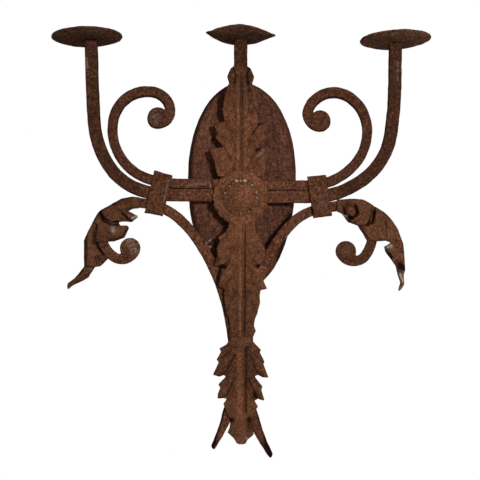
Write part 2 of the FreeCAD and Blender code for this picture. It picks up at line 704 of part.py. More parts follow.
def make_collar(side, stations):
    """A flat band wrapped round the three bars, with its seam at the back."""
    name = SIDE_NAMES[side]
    body = new_body(f"{name}_collar")
    inside_y = BAR_DEPTH / 2 + GAP
    outside_y = inside_y + size("collar_sheet")
    top = size(f"{name}_collar_above")
    foot = -size(f"{name}_collar_below")
    seam = size("collar_seam") / 2
    middle = (top + foot) / 2
    band = size("collar_sheet")
    corners = [
        (outside_y, middle + seam), (outside_y, top + band), (-outside_y, top + band),
        (-outside_y, foot - band), (outside_y, foot - band), (outside_y, middle - seam),
        (inside_y, middle - seam), (inside_y, foot), (-inside_y, foot),
        (-inside_y, top), (inside_y, top), (inside_y, middle + seam),
    ]
    sketch = sketch_on(body, "Section", "YZ_Plane")
    add_outline(sketch, polygon(corners))
    doc.recompute()
    band_feature = pad(body, "Band", sketch, "Sizes.collar_length", both_ways=True)
    rounding = body.newObject("PartDesign::Fillet", "BandEdges")
    rounding.Base = (band_feature, long_corner_edges(band_feature.Shape, outside_y))
    rounding.setExpression("Radius", "Sizes.collar_sheet / 2")
    doc.recompute()
    u = size(f"{name}_collar_u")
    height = bar_height_at(stations, chain_sizes(f"{name}_arm"), u)
    tilt = Rotation(Y_AXIS, -side * size(f"{name}_collar_tilt"))
    body.Placement = bracket_placement(side).multiply(Placement(Vector(side * u, 0, height), tilt))


def long_corner_edges(shape, outside_y):
    """Names of the band's four outer corner edges, which run along the bars."""
    heights = [vertex.Point.z for vertex in shape.Vertexes]
    names = []
    for number, edge in enumerate(shape.Edges, 1):
        first, last = edge.Vertexes[0].Point, edge.Vertexes[-1].Point
        along = abs(first.x - last.x) > SAME_POINT
        outer = abs(abs(first.y) - outside_y) < SAME_POINT
        corner = min(abs(first.z - max(heights)), abs(first.z - min(heights))) < SAME_POINT
        if along and outer and corner:
            names.append(f"Edge{number}")
    return names


def make_pan(name, seat, hole_offset=0.0, tilt=0.0):
    """A shallow dished pan with a sunk ring round its hole; seat is the top of the bar under the hole."""
    body = new_body(name)
    wall = size("pan_sheet")
    floor = size("pan_floor_radius")
    rim = size("pan_radius")
    rise = size("pan_rise")
    sketch = sketch_on(body, "Profile", "XZ_Plane")
    middle = (floor + rim) / 2
    shoulder = rise * RIM_SHOULDER
    corners = [
        (0, 0), (floor, 0), (middle, shoulder), (rim, rise), (rim - wall / 2, rise + wall),
        (middle - wall / 2, shoulder + wall), (floor, wall), (0, wall),
    ]
    add_outline(sketch, polygon(corners))
    doc.recompute()
    revolve(body, "Dish", sketch)
    recess = sketch_on(body, "RecessOutline", "XY_Plane", Vector(0, 0, wall))
    add_circle(recess, "pan_recess_radius", hole_offset, 0)
    doc.recompute()
    pocket(body, "RecessPocket", recess, "Sizes.pan_recess")
    hole = sketch_on(body, "TenonHole", "XY_Plane")
    add_circle(hole, "tenon_radius", hole_offset, 0, extra="hole_clearance")
    doc.recompute()
    pocket(body, "TenonPocket", hole, "Sizes.pan_sheet", backwards=True)
    shift = Vector(-hole_offset, 0, pan_lift(tilt, hole_offset))
    body.Placement = Placement(seat + shift, Rotation(Y_AXIS, -tilt))


def draped_leaf(name, right, left, spine, strap=()):
    """Sheet iron leaf: its outline cut from a sheet that falls back on both sides of its spine."""
    root = [(size("strap_width") / 2, z) for z in strap]
    right = root + right
    left = root + left
    width = max(w for w, _ in right + left) + LEAF
    drop = leaf_drop(width)
    sections = [sheet_section(width, drop, LEAF_SEAT_Y - forward, z) for z, forward in spine]
    drape = Part.makeLoft(sections, True, True)
    back_up = [(-w, z) for w, z in reversed(left) if w > 0]
    points = [Vector(x, 0, z) for x, z in right + back_up]
    outline = Part.Face(Part.makePolygon(points + points[:1]))
    prism = outline.extrude(-Y_AXIS * THROUGH)
    leaf = doc.addObject("Part::Feature", name)
    leaf.Label = name
    leaf.Shape = drape.common(prism)
    return leaf


def sheet_section(width, drop, back, z):
    """Crescent section of a leaf's sheet at height z."""
    front = back - LEAF
    back_arc = Part.Arc(
        Vector(-width, back + drop, z), Vector(0, back, z), Vector(width, back + drop, z)
    )
    front_arc = Part.Arc(
        Vector(width, front + drop, z), Vector(0, front, z), Vector(-width, front + drop, z)
    )
    right = Part.LineSegment(Vector(width, back + drop, z), Vector(width, front + drop, z))
    left = Part.LineSegment(Vector(-width, front + drop, z), Vector(-width, back + drop, z))
    return Part.Wire([edge.toShape() for edge in (back_arc, right, front_arc, left)])


def drill(leaf):
    """The bolt's hole through a leaf's root strap."""
    leaf.Shape = leaf.Shape.cut(Part.makeCylinder(BOLT_HOLE, THROUGH, Vector(), -Y_AXIS))


def stem_front_offset(z):
    """How far the stem's front at this height lies in front of its lower, upright part."""
    stations, pieces = stem_stations()
    for (begin, heading), (end, _), (length, turn) in zip(stations, stations[1:], pieces):
        if begin[1] <= z <= end[1]:
            if not turn:
                y = begin[0] + (z - begin[1]) / math.tan(math.radians(heading))
                break
            centre = at(begin, heading, math.copysign(length, turn))
            inward = -math.copysign(1, turn)
            side_of = math.sqrt(length**2 - (z - centre[1]) ** 2)
            y = centre[0] - inward * side_of
            break
    else:
        y, heading = stations[-1][0][0], 90
    return (BAR_MID_Y - y) + BAR_DEPTH / 2 * (1 / math.sin(math.radians(heading)) - 1)


def make_main_leaves():
    """The upper leaf's strap lies on the lower leaf's, and its blade follows the stem's forward bend."""
    on_strap = [(UPPER_STRAP[0], STRAP_STEP), (LOWER_STRAP[0] + LEAF, STRAP_STEP)]
    bend = size("stem_bend_z")
    climb = (UPPER_LEAF[-1][1] - bend) / CLIMB_STEPS
    heights = [bend + climb * step for step in range(CLIMB_STEPS + 1)]
    climbing = [(z, stem_front_offset(z)) for z in heights]
    spine = on_strap + UPPER_SPINE + climbing
    drill(draped_leaf("upper_leaf", UPPER_LEAF, UPPER_LEAF, spine, UPPER_STRAP))
    drill(draped_leaf("lower_leaf", LOWER_RIGHT, LOWER_LEFT, LOWER_SPINE, LOWER_STRAP))
    draped_leaf("tail_leaf", TAIL_RIGHT, TAIL_LEFT, TAIL_SPINE)


def make_side_leaf(side, outline):
    """A leaf of sheet iron that lies on the front of the lower scroll's arch."""
    body = new_body(f"{SIDE_NAMES[side]}_side_leaf")
    forward = BAR_DEPTH / 2 + GAP
    sketch = sketch_on(body, "LeafOutline", "XZ_Plane", Vector(0, 0, forward))
    add_outline(sketch, polygon([(side * u, v) for u, v in outline]))
    doc.recompute()
    pad(body, "Leaf", sketch, "Sizes.leaf_sheet")
    body.Placement = bracket_placement(side)


def make_rosette():
    """Scalloped, cupped disc behind the beads."""
    body = new_body("rosette_petals")
    flat = size("rosette_flat_radius")
    rim = size("rosette_radius")
    cup = size("rosette_cup")
    wall = size("rosette_sheet")
    back = ROSETTE_BACK_Y
    middle = (flat + rim) / 2
    shoulder = back - cup * RIM_SHOULDER
    corners = [
        (BOLT_HOLE, back), (flat, back), (middle, shoulder), (rim, back - cup), (rim, back - cup - wall),
        (middle - wall / 2, shoulder - wall), (flat - wall / 2, back - wall), (BOLT_HOLE, back - wall),
    ]
    sketch = sketch_on(body, "Profile", "XY_Plane")
    add_outline(sketch, polygon(corners))
    doc.recompute()
    revolve(body, "Dish", sketch)
    notch = sketch_on(body, "Notch", "XZ_Plane")
    add_circle(notch, "scallop_notch", 0, rim)
    doc.recompute()
    cut = pocket(body, "NotchPocket", notch, "Sizes.plate_depth + 3 * Sizes.bar_depth", backwards=True)
    polar(body, "Notches", cut, "Y_Axis", "scallop_count")


def make_bead_disc():
    body = new_body("rosette_bead_ring")
    rim = size("bead_disc_radius")
    front = DISC_BACK_Y - size("bead_disc_sheet")
    corners = [(BOLT_HOLE, DISC_BACK_Y), (rim, DISC_BACK_Y), (rim, front), (BOLT_HOLE, front)]
    sketch = sketch_on(body, "Profile", "XY_Plane")
    add_outline(sketch, polygon(corners))
    doc.recompute()
    revolve(body, "Disc", sketch)
    place = Vector(0, front, size("bead_ring_radius"))
    bead = sketch_on(body, "BeadProfile", "XY_Plane", place)
    radius = size("bead_radius")
    arc = Part.Arc(Vector(-radius, 0, 0), Vector(0, -radius, 0), Vector(radius, 0, 0))
    add_outline(bead, [arc, Part.LineSegment(Vector(radius, 0, 0), Vector(-radius, 0, 0))])
    doc.recompute()
    ball = revolve(body, "Bead", bead, "H_Axis")
    polar(body, "Beads", ball, "Y_Axis", "bead_count")


def make_boss_bolt():
    """Domed rosette boss and its shank, which runs back through the stem and the plate."""
    body = new_body("rosette_boss_bolt")
    head = size("boss_radius")
    shank = size("bolt_radius")
    rise = size("boss_height")
    crown = Vector(0, BOSS_BACK_Y - rise, 0)
    half_way = Vector(head / 2, BOSS_BACK_Y - dome_height(head, rise, head / 2), 0)
    end = washer_back_y() + size("washer_sheet") + GAP + size("nut_height") + size("bolt_tail")
    points = [
        Vector(0, end, 0), Vector(shank, end, 0), Vector(shank, BOSS_BACK_Y, 0),
        Vector(head, BOSS_BACK_Y, 0),
    ]
    edges = [Part.LineSegment(a, b) for a, b in zip(points, points[1:])]
    edges.append(Part.Arc(points[-1], half_way, crown))
    edges.append(Part.LineSegment(crown, points[0]))
    sketch = sketch_on(body, "Profile", "XY_Plane")
    add_outline(sketch, edges)
    doc.recompute()
    revolve(body, "BossAndShank", sketch)


def washer_back_y():
    """The washer lies on the hollow side of the plate."""
    return -PLATE_DEPTH + size("plate_wall") + GAP


def make_washer_and_nut():
    near = washer_back_y()
    far = near + size("washer_sheet")
    rim = size("washer_radius")
    corners = [(BOLT_HOLE, near), (rim, near), (rim, far), (BOLT_HOLE, far)]
    turned_piece("bolt_washer", corners, Vector(0, 0, 0))
    body = new_body("bolt_nut")
    sketch = sketch_on(body, "Hexagon", "XZ_Plane", Vector(0, 0, -(far + GAP + size("nut_height"))))
    corner = size("nut_across_flats") / math.sqrt(3)
    turns = [math.radians(60 * number) for number in range(6)]
    add_outline(sketch, polygon([(corner * math.cos(turn), corner * math.sin(turn)) for turn in turns]))
    add_circle(sketch, "bolt_radius", 0, 0, extra="hole_clearance")
    doc.recompute()
    pad(body, "Nut", sketch, "Sizes.nut_height")


def check_document():
    """Stops if any feature failed or any sub-part is null or invalid."""
    doc.recompute()
    for item in doc.Objects:
        if "Invalid" in item.State or "Error" in item.State:
            raise RuntimeError(f"{item.Name} failed: {item.State}")
    for item in sub_parts():
        if item.Shape.isNull() or not item.Shape.isValid() or not item.Shape.Solids:
            raise RuntimeError(f"{item.Label}: no valid solid")


def sub_parts():
    kinds = ("PartDesign::Body", "Part::Feature")
    return [item for item in doc.Objects if item.TypeId in kinds]


def main():
    make_back_plate()
    make_plug_rivet()
    centre_seat = make_centre_stem()
    make_pan("centre_pan", centre_seat)
    seats = {}
    for side in (LEFT, RIGHT):
        seats[side], arm_stations = make_arm(side)
        make_inner_scroll(side)
        make_lower_scroll(side)
        make_collar(side, arm_stations)
    make_pan("left_pan", seats[LEFT], size("left_pan_offset"), size("left_pan_tilt"))
    make_pan("right_pan", seats[RIGHT], tilt=size("right_pan_tilt"))
    make_main_leaves()
    make_side_leaf(LEFT, LEFT_SIDE_LEAF)
    make_side_leaf(RIGHT, RIGHT_SIDE_LEAF)
    make_rosette()
    make_bead_disc()
    make_boss_bolt()
    make_washer_and_nut()
    check_document()
    os.makedirs("parts", exist_ok=True)
    for item in sub_parts():
        item.Shape.exportStep(f"parts/{item.Label}.step")
        print(f"{item.Label}: {item.Shape.Volume / 1000:.1f} cm3, {len(item.Shape.Solids)} solid(s)")


main()
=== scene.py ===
import math

import bmesh
import bpy
import numpy as np
from bpy.props import FloatProperty, FloatVectorProperty, PointerProperty
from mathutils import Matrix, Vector, noise
from mathutils.kdtree import KDTree


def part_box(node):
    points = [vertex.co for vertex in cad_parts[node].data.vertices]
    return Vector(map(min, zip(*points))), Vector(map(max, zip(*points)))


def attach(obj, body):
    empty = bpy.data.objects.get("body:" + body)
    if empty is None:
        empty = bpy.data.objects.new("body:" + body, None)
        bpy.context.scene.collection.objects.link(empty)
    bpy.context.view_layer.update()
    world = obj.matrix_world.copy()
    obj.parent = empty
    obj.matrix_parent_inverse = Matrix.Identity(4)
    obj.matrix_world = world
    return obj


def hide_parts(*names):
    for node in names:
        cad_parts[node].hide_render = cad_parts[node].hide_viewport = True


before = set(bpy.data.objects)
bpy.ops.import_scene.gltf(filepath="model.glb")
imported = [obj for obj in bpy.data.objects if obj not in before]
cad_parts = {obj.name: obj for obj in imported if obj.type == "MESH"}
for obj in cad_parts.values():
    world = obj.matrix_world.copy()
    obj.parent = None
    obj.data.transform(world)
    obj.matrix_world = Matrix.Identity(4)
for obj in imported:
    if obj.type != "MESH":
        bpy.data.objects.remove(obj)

bl_info = {
    "name": "Torch Sconce",
    "version": (1, 0, 0),
    "blender": (4, 5, 0),
    "location": "View3D > Sidebar > Sconce",
    "description": "Dresses the packed wrought-iron torch sconce: forged bars, worked leaves and old rust",
    "category": "Object",
}

MM = 0.001
# The camera that the photograph is taken to have, in millimetres: level, square to the wall, and with a
# view of 36 degrees, which is assumed. Its focal length is in pixels of the 480-pixel frame.
CAMERA_MM = Vector((-0.9, -1111.0, -61.2))
FOCAL_PX = 738.6
FRAME_PX = 480
SENSOR_MM = 36.0
# Vertices of a CAD mesh that lie nearer than this are one.
MERGE = 0.01 * MM

# Depths in millimetres at which the photograph's pixels are placed, one for each layer of the object.
PLATE_Y = -26
BAR_MIDDLE_Y = -40
LEAF_Y = -47
UPPER_LEAF_Y = -48
BAR_FRONT_Y = -48
ROSETTE_Y = -52
BOSS_Y = -54
COLLAR_Y = -62
SIDE_LEAF_Y = -70

BARS = [
    "centre_stem", "left_candle_arm", "right_candle_arm", "left_inner_scroll", "right_inner_scroll",
    "left_lower_scroll", "right_lower_scroll",
]
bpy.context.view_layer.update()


# Measures and colours.
def linear(code):
    """A colour written as an sRGB hex value, in the linear light that shaders use."""
    shares = [int(code[i:i + 2], 16) / 255 for i in (1, 3, 5)]
    return tuple(s / 12.92 if s <= 0.04045 else ((s + 0.055) / 1.055) ** 2.4 for s in shares)


def seen(px, py, depth):
    """The point (x, z), in millimetres, that a pixel of the photograph shows at this depth."""
    reach = (depth - CAMERA_MM.y) / FOCAL_PX
    half = FRAME_PX / 2
    return CAMERA_MM.x + (px - half) * reach, CAMERA_MM.z - (py - half) * reach


class SconceForging(bpy.types.PropertyGroup):
    """How coarsely the iron is worked."""

    bar_grid: FloatProperty(
        name="Bar grid", description="Face size of the bars, the plate and the pans",
        default=1.3 * MM, unit="LENGTH", precision=5,
    )
    leaf_grid: FloatProperty(
        name="Leaf grid", description="Face size of the leaves and the rosette",
        default=0.75 * MM, unit="LENGTH", precision=5,
    )
    hammer_depth: FloatProperty(
        name="Hammer marks", description="Depth of the dents that the hammer left",
        default=0.35 * MM, unit="LENGTH", precision=5,
    )
    hammer_width: FloatProperty(
        name="Hammer face", description="Width of one hammer dent",
        default=11 * MM, unit="LENGTH", precision=5,
    )


class SconceColours(bpy.types.PropertyGroup):
    """Colours of the rust on the different forgings."""

    plate: FloatVectorProperty(
        name="Plate", description="Rust on the back plate", subtype="COLOR", default=linear("#55362a"),
    )
    bars: FloatVectorProperty(
        name="Bars", description="Rust on the forged bars", subtype="COLOR", default=linear("#5a3828"),
    )
    leaves: FloatVectorProperty(
        name="Leaves", description="Rust on the sheet-iron leaves", subtype="COLOR",
        default=linear("#6a4430"),
    )
    pans: FloatVectorProperty(
        name="Pans", description="Sooty rust on the pans", subtype="COLOR", default=linear("#5c4032"),
    )
    # Also the colour of painted shade, which the shaping lays on with the soot.
    soot_and_shade: FloatVectorProperty(
        name="Soot", description="Black iron scale and soot", subtype="COLOR", default=linear("#1a100c"),
    )
    # Also the colour of painted highlights and sheen.
    bare_and_highlight: FloatVectorProperty(
        name="Bare iron", description="Iron rubbed bare on edges and nicks", subtype="COLOR",
        default=linear("#d6c6b4"),
    )
    floor: FloatVectorProperty(
        name="Floor", description="Pale studio floor", subtype="COLOR", default=linear("#ececea"),
    )


# Materials.
def add_node(tree, kind, links=(), **settings):
    """A node with its settings and its inputs, each of which is a value or another node's output."""
    node = tree.nodes.new(kind)
    for name, value in settings.items():
        setattr(node, name, value)
    for key, value in dict(links).items():
        socket = node.inputs[key]
        if isinstance(value, bpy.types.NodeSocket):
            tree.links.new(value, socket)
        else:
            socket.default_value = value
    return node


def maths(tree, operation, *inputs, **settings):
    """What a Math node makes of these inputs."""
    node = add_node(tree, "ShaderNodeMath", enumerate(inputs), operation=operation, **settings)
    return node.outputs["Value"]


def grain(tree, place, width_mm, **settings):
    """Noise from 0 to 1 in blobs of this width."""
    links = {"Vector": place, "Scale": 1 / (width_mm * MM), **settings}
    return add_node(tree, "ShaderNodeTexNoise", links).outputs["Fac"]


def stained(tree, name):
    """The value from 0 to 1 that the shaping left at each vertex under this name."""
    return add_node(tree, "ShaderNodeAttribute", attribute_name=name).outputs["Fac"]


def laid_over(tree, colour, cover, share):
    """The cover's colour laid over another one, as thickly as share says."""
    links = {"Factor": share, "A": colour, "B": tuple(cover) + (1.0,)}
    return add_node(tree, "ShaderNodeMix", links, data_type="RGBA").outputs[2]


# Widths in millimetres of the rust's clouds, grains and pits. The grains on the real iron are finer; they are
# drawn this wide so that they still show in the photograph's frame.
CLOUD_MM = 34
GRIT_MM = 2.5
PIT_MM = 6
# How far the darkest blotch falls below the base colour, and the warmest rises over it in each channel.
DARK_FALL = 0.64
WARM_RISE = (1.0, 0.9, 0.75)


def oxide_colour(tree, base, contrast, mottle, cloud):
    """Brown oxide in darker and warmer blotches, which broad clouds make lighter and darker."""
    dark = tuple((1 - DARK_FALL * contrast) * c for c in base) + (1.0,)
    warm = tuple((1 + rise * contrast) * c for rise, c in zip(WARM_RISE, base)) + (1.0,)
    skin = add_node(tree, "ShaderNodeValToRGB", {"Fac": mottle})
    stops = skin.color_ramp.elements
    stops[0].position, stops[0].color = 0.38, dark
    stops[1].position, stops[1].color = 0.63, warm
    middle = stops.new(0.50)
    middle.color = tuple(base) + (1.0,)
    tone = add_node(
        tree, "ShaderNodeMapRange",
        {"Value": cloud, "From Min": 0.35, "From Max": 0.65, "To Min": 0.86, "To Max": 1.12},
    ).outputs["Result"]
    toned = add_node(
        tree, "ShaderNodeMix", {"Factor": 1.0, "A": skin.outputs["Color"], "B": tone},
        data_type="RGBA", blend_type="MULTIPLY",
    )
    return toned.outputs[2]


def bareness_and_highlight(tree, grit, fleck):
    """How far the grey bare-iron colour is laid on: in nicks of wear all over, and where the shaping says so,
    which is partly wear and partly painted highlight.
    """
    nicks = add_node(
        tree, "ShaderNodeMapRange",
        {
            "Value": grit, "From Min": 0.68 - 0.08 * fleck, "From Max": 0.80,
            "To Min": 0.0, "To Max": 0.55 * fleck,
        },
    ).outputs["Result"]
    worn_and_lit = maths(tree, "MULTIPLY", stained(tree, "bare_and_highlight"), grit)
    worn_and_lit = maths(tree, "MULTIPLY", worn_and_lit, 2.2, use_clamp=True)
    return maths(tree, "MAXIMUM", worn_and_lit, nicks)


def pitted_bump(tree, place, blotch, grit):
    """Bump of a pitted skin, on top of the dents that the mesh itself has."""
    pits = add_node(
        tree, "ShaderNodeTexVoronoi", {"Vector": place, "Scale": 1 / (PIT_MM * MM), "Randomness": 1.0},
        feature="SMOOTH_F1",
    ).outputs["Distance"]
    rough = maths(tree, "MULTIPLY_ADD", blotch, 0.8, grit)
    rough = maths(tree, "MULTIPLY_ADD", pits, 0.5, rough)
    links = {"Height": rough, "Strength": 0.75, "Distance": 0.9 * MM}
    return add_node(tree, "ShaderNodeBump", links).outputs["Normal"]


def rusted_iron(name, base, mottle_mm, streak, fleck, contrast):
    """Wrought iron, hammered black and then left to rust: a dry brown oxide skin in blotches a few
    millimetres wide, black scale in the hollows, and flecks of grey metal where it was rubbed. Where the
    shaping asks for it, the black also paints shade and the grey also paints highlights.

    mottle_mm is the width of the blotches, streak how much longer than wide they run down the piece, fleck
    how much of the skin is rubbed off, and contrast how far the blotches differ.
    """
    colours = bpy.context.scene.sconce_colours
    material = bpy.data.materials.new(name)
    material.use_nodes = True
    tree = material.node_tree
    tree.nodes.clear()
    place = add_node(tree, "ShaderNodeTexCoord").outputs["Object"]
    stretch = {"Vector": place, "Scale": (1.0, 1.0, 1.0 / streak)}
    drawn = add_node(tree, "ShaderNodeMapping", stretch).outputs["Vector"]
    blotch = grain(tree, drawn, mottle_mm, Detail=4.0, Roughness=0.62, Distortion=0.4)
    cloud = grain(tree, place, CLOUD_MM, Detail=2.0, Roughness=0.5)
    grit = grain(tree, place, GRIT_MM, Detail=2.0, Roughness=0.6)
    mottle = maths(tree, "MULTIPLY_ADD", blotch, 0.45, maths(tree, "MULTIPLY", grit, 0.55))

    colour = oxide_colour(tree, base, contrast, mottle, cloud)
    # The grey bare-iron colour also paints highlights, and the black soot colour also paints shade, each as
    # thickly as the shaping's attributes say.
    colour = laid_over(tree, colour, colours.bare_and_highlight, bareness_and_highlight(tree, grit, fleck))
    colour = laid_over(tree, colour, colours.soot_and_shade, stained(tree, "soot_and_shade"))
    # Oxide, not metal, and drawn without gloss, which would mirror the white studio along the edges.
    shader = add_node(
        tree, "ShaderNodeBsdfPrincipled",
        {
            "Base Color": colour, "Metallic": 0.0, "Roughness": 0.75, "Specular IOR Level": 0.0,
            "Normal": pitted_bump(tree, place, blotch, grit),
        },
    )
    add_node(tree, "ShaderNodeOutputMaterial", {"Surface": shader.outputs["BSDF"]})
    return material


def iron(kind):
    """The material of this kind of forging, made once."""
    colours = bpy.context.scene.sconce_colours
    # Colour, width of the blotches in mm, streak, fleck and contrast.
    recipes = {
        # Sheet iron of the back plate, rusted in streaks that run down it.
        "rusted_plate_iron": (colours.plate, 4.2, 3.2, 0.25, 0.85),
        # Bar iron forged square, rubbed more than the sheet.
        "rusted_bar_iron": (colours.bars, 4.2, 1.3, 0.5, 0.95),
        # Thin sheet of the leaves, rusted the most evenly.
        "rusted_leaf_iron": (colours.leaves, 3.8, 1.3, 0.3, 0.72),
        # Rosette, beads and boss, rusted as the leaves are and handled more.
        "rubbed_rosette_iron": (colours.leaves, 3.6, 1.0, 0.4, 0.8),
        # Drip pans, rusted in the broadest blotches.
        "sooty_pan_iron": (colours.pans, 5.0, 1.0, 0.2, 0.9),
    }
    return bpy.data.materials.get(kind) or rusted_iron(kind, *recipes[kind])


# Shaping.
def as_piece(mesh, name):
    """A bmesh, made a shown object of the scene."""
    data = bpy.data.meshes.new(name)
    mesh.to_mesh(data)
    mesh.free()
    piece = bpy.data.objects.new(name, data)
    bpy.context.scene.collection.objects.link(piece)
    return piece


def settle(piece):
    """Turns the piece's live modifiers into plain mesh."""
    bpy.context.view_layer.update()
    seen_by_depsgraph = piece.evaluated_get(bpy.context.evaluated_depsgraph_get())
    worked = bpy.data.meshes.new_from_object(seen_by_depsgraph)
    piece.modifiers.clear()
    piece.data = worked


def forge(node, name, grid):
    """A merged copy of a CAD node in even faces as small as grid, which the hammer can then work."""
    mesh = bmesh.new()
    mesh.from_mesh(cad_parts[node].data)
    bmesh.ops.remove_doubles(mesh, verts=mesh.verts, dist=MERGE)
    piece = as_piece(mesh, name)
    even = piece.modifiers.new("EvenFaces", "REMESH")
    even.mode = "VOXEL"
    even.voxel_size = grid
    settle(piece)
    mesh = bmesh.new()
    mesh.from_mesh(piece.data)
    bmesh.ops.smooth_vert(
        mesh, verts=mesh.verts, factor=0.5, use_axis_x=True, use_axis_y=True, use_axis_z=True
    )
    mesh.to_mesh(piece.data)
    mesh.free()
    return piece


def points_of(piece):
    """The place of each vertex."""
    points = np.empty(len(piece.data.vertices) * 3)
    piece.data.vertices.foreach_get("co", points)
    return points.reshape(-1, 3)


def normals_of(piece):
    """The direction that each vertex faces."""
    normals = np.empty(len(piece.data.vertices) * 3)
    piece.data.vertices.foreach_get("normal", normals)
    return normals.reshape(-1, 3)


def put_points(piece, points):
    """Moves the vertices to these places."""
    piece.data.vertices.foreach_set("co", points.ravel())
    piece.data.update()


def dents(points, width, seed):
    """Smooth noise from -1 to 1 at each point, with blobs as wide as width."""
    shift = Vector((seed * 3.7, seed * 1.9, seed * 5.3))
    return np.array([noise.noise(Vector(p) / width + shift) for p in points])


def hammer(piece, seed, strength=1.0):
    """Broad dents and fine scale over the whole skin of a forging."""
    forging = bpy.context.scene.sconce_forging
    points = points_of(piece)
    depth = forging.hammer_depth * strength
    broad = dents(points, forging.hammer_width, seed)
    fine = dents(points, forging.hammer_width / 3, seed + 9)
    put_points(piece, points + normals_of(piece) * (depth * (broad + 0.45 * fine))[:, None])


def near(flat, line, width):
    """How near each flat point lies to a line of points: 1 on it, fading out over width."""
    ends = line if len(line) > 1 else line * 2
    best = np.full(len(flat), np.inf)
    for start, end in zip(ends, ends[1:]):
        start = np.array(start)
        along = np.array(end) - start
        share = np.clip((flat - start) @ along / max(along @ along, 1e-9), 0, 1)
        best = np.minimum(best, np.linalg.norm(flat - start - share[:, None] * along, axis=1))
    return np.exp(-((best / width) ** 2))


def seen_line(pixels, depth):
    """The points that a line of the photograph's pixels shows at this depth."""
    return [seen(px, py, depth) for px, py in pixels]


def marks(flat, lines, depth):
    """Sum of worked lines, each (pixels of the photograph, width in mm, height)."""
    total = np.zeros(len(flat))
    for pixels, width, height in lines:
        total += height * near(flat, seen_line(pixels, depth), width)
    return total


def stain(piece, name, values):
    """A named value from 0 to 1 at each vertex, which the material reads."""
    layer = piece.data.attributes.new(name, "FLOAT", "POINT")
    layer.data.foreach_set("value", np.clip(values, 0, 1).astype(np.float32))


def rim_distance(piece, points):
    """Distance in mm from each vertex to the sheet's cut edge, seen from the front."""
    sideways = np.abs(normals_of(piece)[:, 1]) < 0.4
    rim = points[sideways]
    tree = KDTree(len(rim))
    for number, point in enumerate(rim):
        tree.insert((point[0], 0.0, point[2]), number)
    tree.balance()
    return np.array([tree.find((p[0], 0.0, p[2]))[2] for p in points]) / MM


# Relief in mm of a ridge and of a vein for each unit of height, the painted shade in a vein's groove, the
# width over which veins run out at the cut edge, and how far right of the bolt the valley between a leaf's
# halves runs.
RIDGE_RELIEF = 1.9
VEIN_RELIEF = 0.75
VEIN_GROOVE_SHADE = 0.6
VEIN_RUN_OUT = 2.0
SPINE_X = 2.5


def work_leaf(
    piece, depth, ridges, soot_and_shade=(), bare_and_highlight=(), pillow=(1.0, 4.0), veins=None, moves=(), shade=0.0, gain=0.5,
    valley=0.0,
):
    """Raises a leaf's sheet forward along ridges and back along grooves, and stains it with soot, painted
    shade and painted highlights.

    ridges and the dark and pale marks are lists of (pixels of the photograph, width, height); the dark marks
    are soot and mostly painted shade, the pale marks mostly painted highlights. moves are (pixel, width,
    shift in x, shift in z). pillow is how far the cut edges curl back and over what width, veins a function
    that draws them, valley how steeply both halves rise from the spine, shade how much darker the whole sheet
    is made, as a number or a function of the place, and gain how far in mm the cut edges are set outwards.
    """
    points = points_of(piece)
    flat = points[:, [0, 2]] / MM
    relief = RIDGE_RELIEF * marks(flat, ridges, depth)
    edge = rim_distance(piece, points)
    relief -= pillow[0] * np.exp(-edge / pillow[1])
    relief += valley * np.abs(flat[:, 0] - SPINE_X)
    grooves = np.zeros(len(flat))
    if veins:
        pattern = veins(flat) * (1 - np.exp(-edge / VEIN_RUN_OUT))
        relief += VEIN_RELIEF * pattern
        # Painted shade in the vein grooves.
        grooves = VEIN_GROOVE_SHADE * np.clip(-pattern, 0, 1)
    relief += pillow[0]
    worked = points.copy()
    worked[:, 1] -= relief * MM
    outwards = normals_of(piece)
    outwards[np.abs(outwards[:, 1]) > 0.5] = 0
    outwards[:, 1] = 0
    worked += outwards * gain * MM
    for pixel, width, dx, dz in moves:
        share = near(flat, [seen(*pixel, depth)], width)
        worked[:, 0] += share * dx * MM
        worked[:, 2] += share * dz * MM
    put_points(piece, worked)
    # The dark marks and the vein grooves lay soot and painted shade, the pale marks mostly painted
    # highlights.
    if callable(shade):
        shade = shade(flat)
    stain(piece, "soot_and_shade", shade + grooves + marks(flat, soot_and_shade, depth))
    stain(piece, "bare_and_highlight", marks(flat, bare_and_highlight, depth))


def shade_arrises(piece, amount):
    """Paints shade on the rounded arrises between the front and the sides, where they turn from the light;
    amount is one number, or one for each vertex.
    """
    soot_and_shade = piece.data.attributes.get("soot_and_shade") or piece.data.attributes.new("soot_and_shade", "FLOAT", "POINT")
    values = np.zeros(len(piece.data.vertices), dtype=np.float32)
    soot_and_shade.data.foreach_get("value", values)
    facing = np.abs(normals_of(piece)[:, 1])
    turned = np.clip((0.86 - facing) / 0.4, 0, 1) * np.clip((facing - 0.05) / 0.2, 0, 1)
    soot_and_shade.data.foreach_set("value", np.clip(values + amount * turned, 0, 1).astype(np.float32))


def finish_piece(piece, material, nodes, arrises=0.6):
    """Gives a finished piece its material and its place in the frame."""
    # Painted shade on the arrises.
    shade_arrises(piece, arrises)
    piece.data.materials.clear()
    piece.data.materials.append(iron(material))
    for face in piece.data.polygons:
        face.use_smooth = True
    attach(piece, "root")
    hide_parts(*nodes)


# Operators.
class SconceOperator:
    bl_options = {"REGISTER", "UNDO"}


# Where the plug rivet sits, and the dark places of the plate: painted shade beside the right lower scroll, a
# dark line down its right half, and painted shade in the rivet's hole.
PLUG_PIXEL = (210, 243.6)
SHADED_PLATE = [([(289, 215), (286, 240), (279, 257)], 6, 0.75)]
PLATE_SCALE_AND_SHADE = [([(277.5, 148), (277.5, 178)], 1.4, 0.4), ([PLUG_PIXEL], 2.2, 0.8)]


